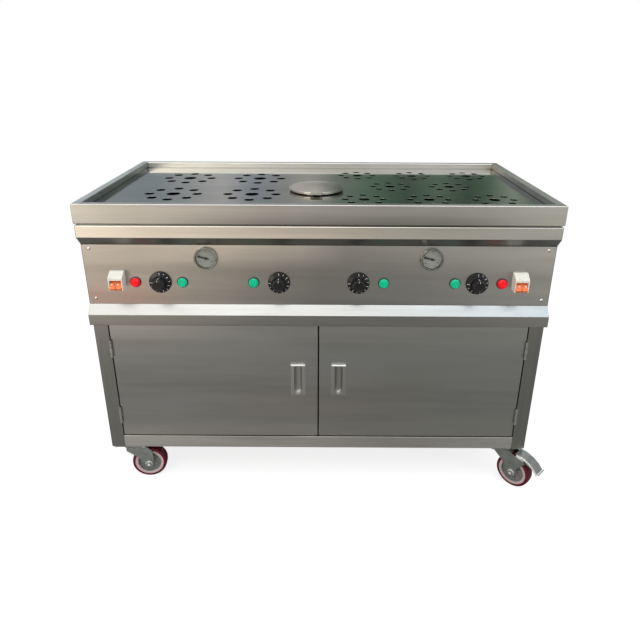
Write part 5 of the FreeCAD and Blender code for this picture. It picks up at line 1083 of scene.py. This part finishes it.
pedalSizes = {
    # the line of the tread, seen from the side
    "tread": ((0.066, 0, 0.1130), (0.090, 0, 0.1040), (0.106, 0, 0.0920), (0.118, 0, 0.0780)),
    "ridge": (0.0014, 0.0280, 0.0014), "pitch": 0.0036, "firstRidge": 0.0022,
    "flangeAway": 0.0175, "flangeThick": 0.0014, "flangeTall": 0.0050,
    "arm": (0.0180, 0.0014, 0.0080), "armAway": 0.0178, "lip": (0.0042, 0.0345, 0.0038),
    "edge": 0.0006,
}


def makePedal(corner):
    s = pedalSizes
    place = casterPlace(corner)
    node = "brake_pedal_" + corner
    bm = merged(node)
    softenEdges(bm, s["edge"])
    tread = [Vector(point) for point in s["tread"]]
    for start, end in zip(tread, tread[1:]):
        length = (end - start).length
        along = (end - start).normalized()
        up = Vector((-along.z, 0, along.x))
        for number in range(int(length / s["pitch"])):
            middle = start + along * (s["firstRidge"] + number * s["pitch"]) + up * 0.0012
            block(bm, s["ridge"], place @ facing(middle, along, up), 0, 0.0004, 1)
        # side flanges in the lighter metal, a painted glint
        for side in (-1, 1):
            middle = (start + end) / 2 - up * 0.0012 + Vector((0, side * s["flangeAway"], 0))
            block(bm, (length + 0.001, s["flangeThick"], s["flangeTall"]),
                  place @ facing(middle, along, up), 1, 0.0005, 2)
    # the arms in the lighter metal too, a painted glint
    for side in (-1, 1):  # the pedal's arms, back to its pin
        arm = facing((0.0600, side * s["armAway"], 0.1098), (1, 0, -0.06), (0.06, 0, 1))
        block(bm, s["arm"], place @ arm, 1, 0.0005, 2)
    # the bent lip in the lighter metal, a painted glint
    lip = facing((0.1188, 0, 0.0800), (1, 0, 0.6), (-0.6, 0, 1))
    block(bm, s["lip"], place @ lip, 1, 0.0012, 3)
    materials = [slotMaterials["pedal_zinc"], finishes["bright"]]
    finishPiece(node + "_piece", bm, materials, node, (node,), 35, False)


def makePlates():
    s = casterSizes
    bm = merged("caster_plates")
    softenEdges(bm, s["plateEdge"], 1)
    x, y = s["swivel"]
    for across, depth, right, back in product((-x, x), (-y, y), (-1, 1), (-1, 1)):
        bolt = (across + right * s["boltAcross"], depth + back * s["boltDepth"], s["boltLevel"])
        spot = Matrix.Translation(bolt)
        # washer and bolt head in the lighter metal, a painted glint
        disc(bm, *s["washer"], spot, 1, 28, 0.0002)
        head = spot @ Matrix.Translation((0, 0, -s["boltDrop"]))
        disc(bm, *s["boltHead"], head, 1, 6, 0.0004)
    finishPiece("caster_plates_piece", bm, zincParts, "counter", ("caster_plates",),
                35, False)


for corner in casterSizes["turns"]:
    makeWheel(corner)
    makeFork(corner)
makePedal("front_right")
makePedal("rear_left")
makePlates()
print("casters made")


# pan-head screws that hold the back sheet to its frame

backScrews = {
    "across": (-0.565, -0.19, 0.19, 0.565), "levels": (0.582, 0.778), "face": 0.298,
    "radius": 0.0042, "height": 0.0019, "slot": (0.0040, 0.0007, 0.0003),
}


def makeBackScrews():
    s = backScrews
    bm = bmesh.new()
    radius = s["radius"]
    head = [(0, 0), (radius, 0), (radius, 0.0004), (radius * 0.86, 0.0013), (radius * 0.5, 0.0018),
            (0, s["height"])]
    for across, level in product(s["across"], s["levels"]):
        turned(bm, head, (across, s["face"], level), (0, 1, 0), 28)
        # the cross slot as a thin dark mark on the head: painted shade in place of a recess
        for degrees in (0, 90):
            turn = math.radians(degrees)
            top = (across, s["face"] + s["height"], level)
            block(bm, s["slot"], facing(top, (math.cos(turn), 0, math.sin(turn)), (0, 1, 0)), 1)
    materials = [slotMaterials["screw_steel"], finishes["slotDark"]]
    finishPiece("back_screws", bm, materials, "counter", ())


makeBackScrews()
print("back screws made")
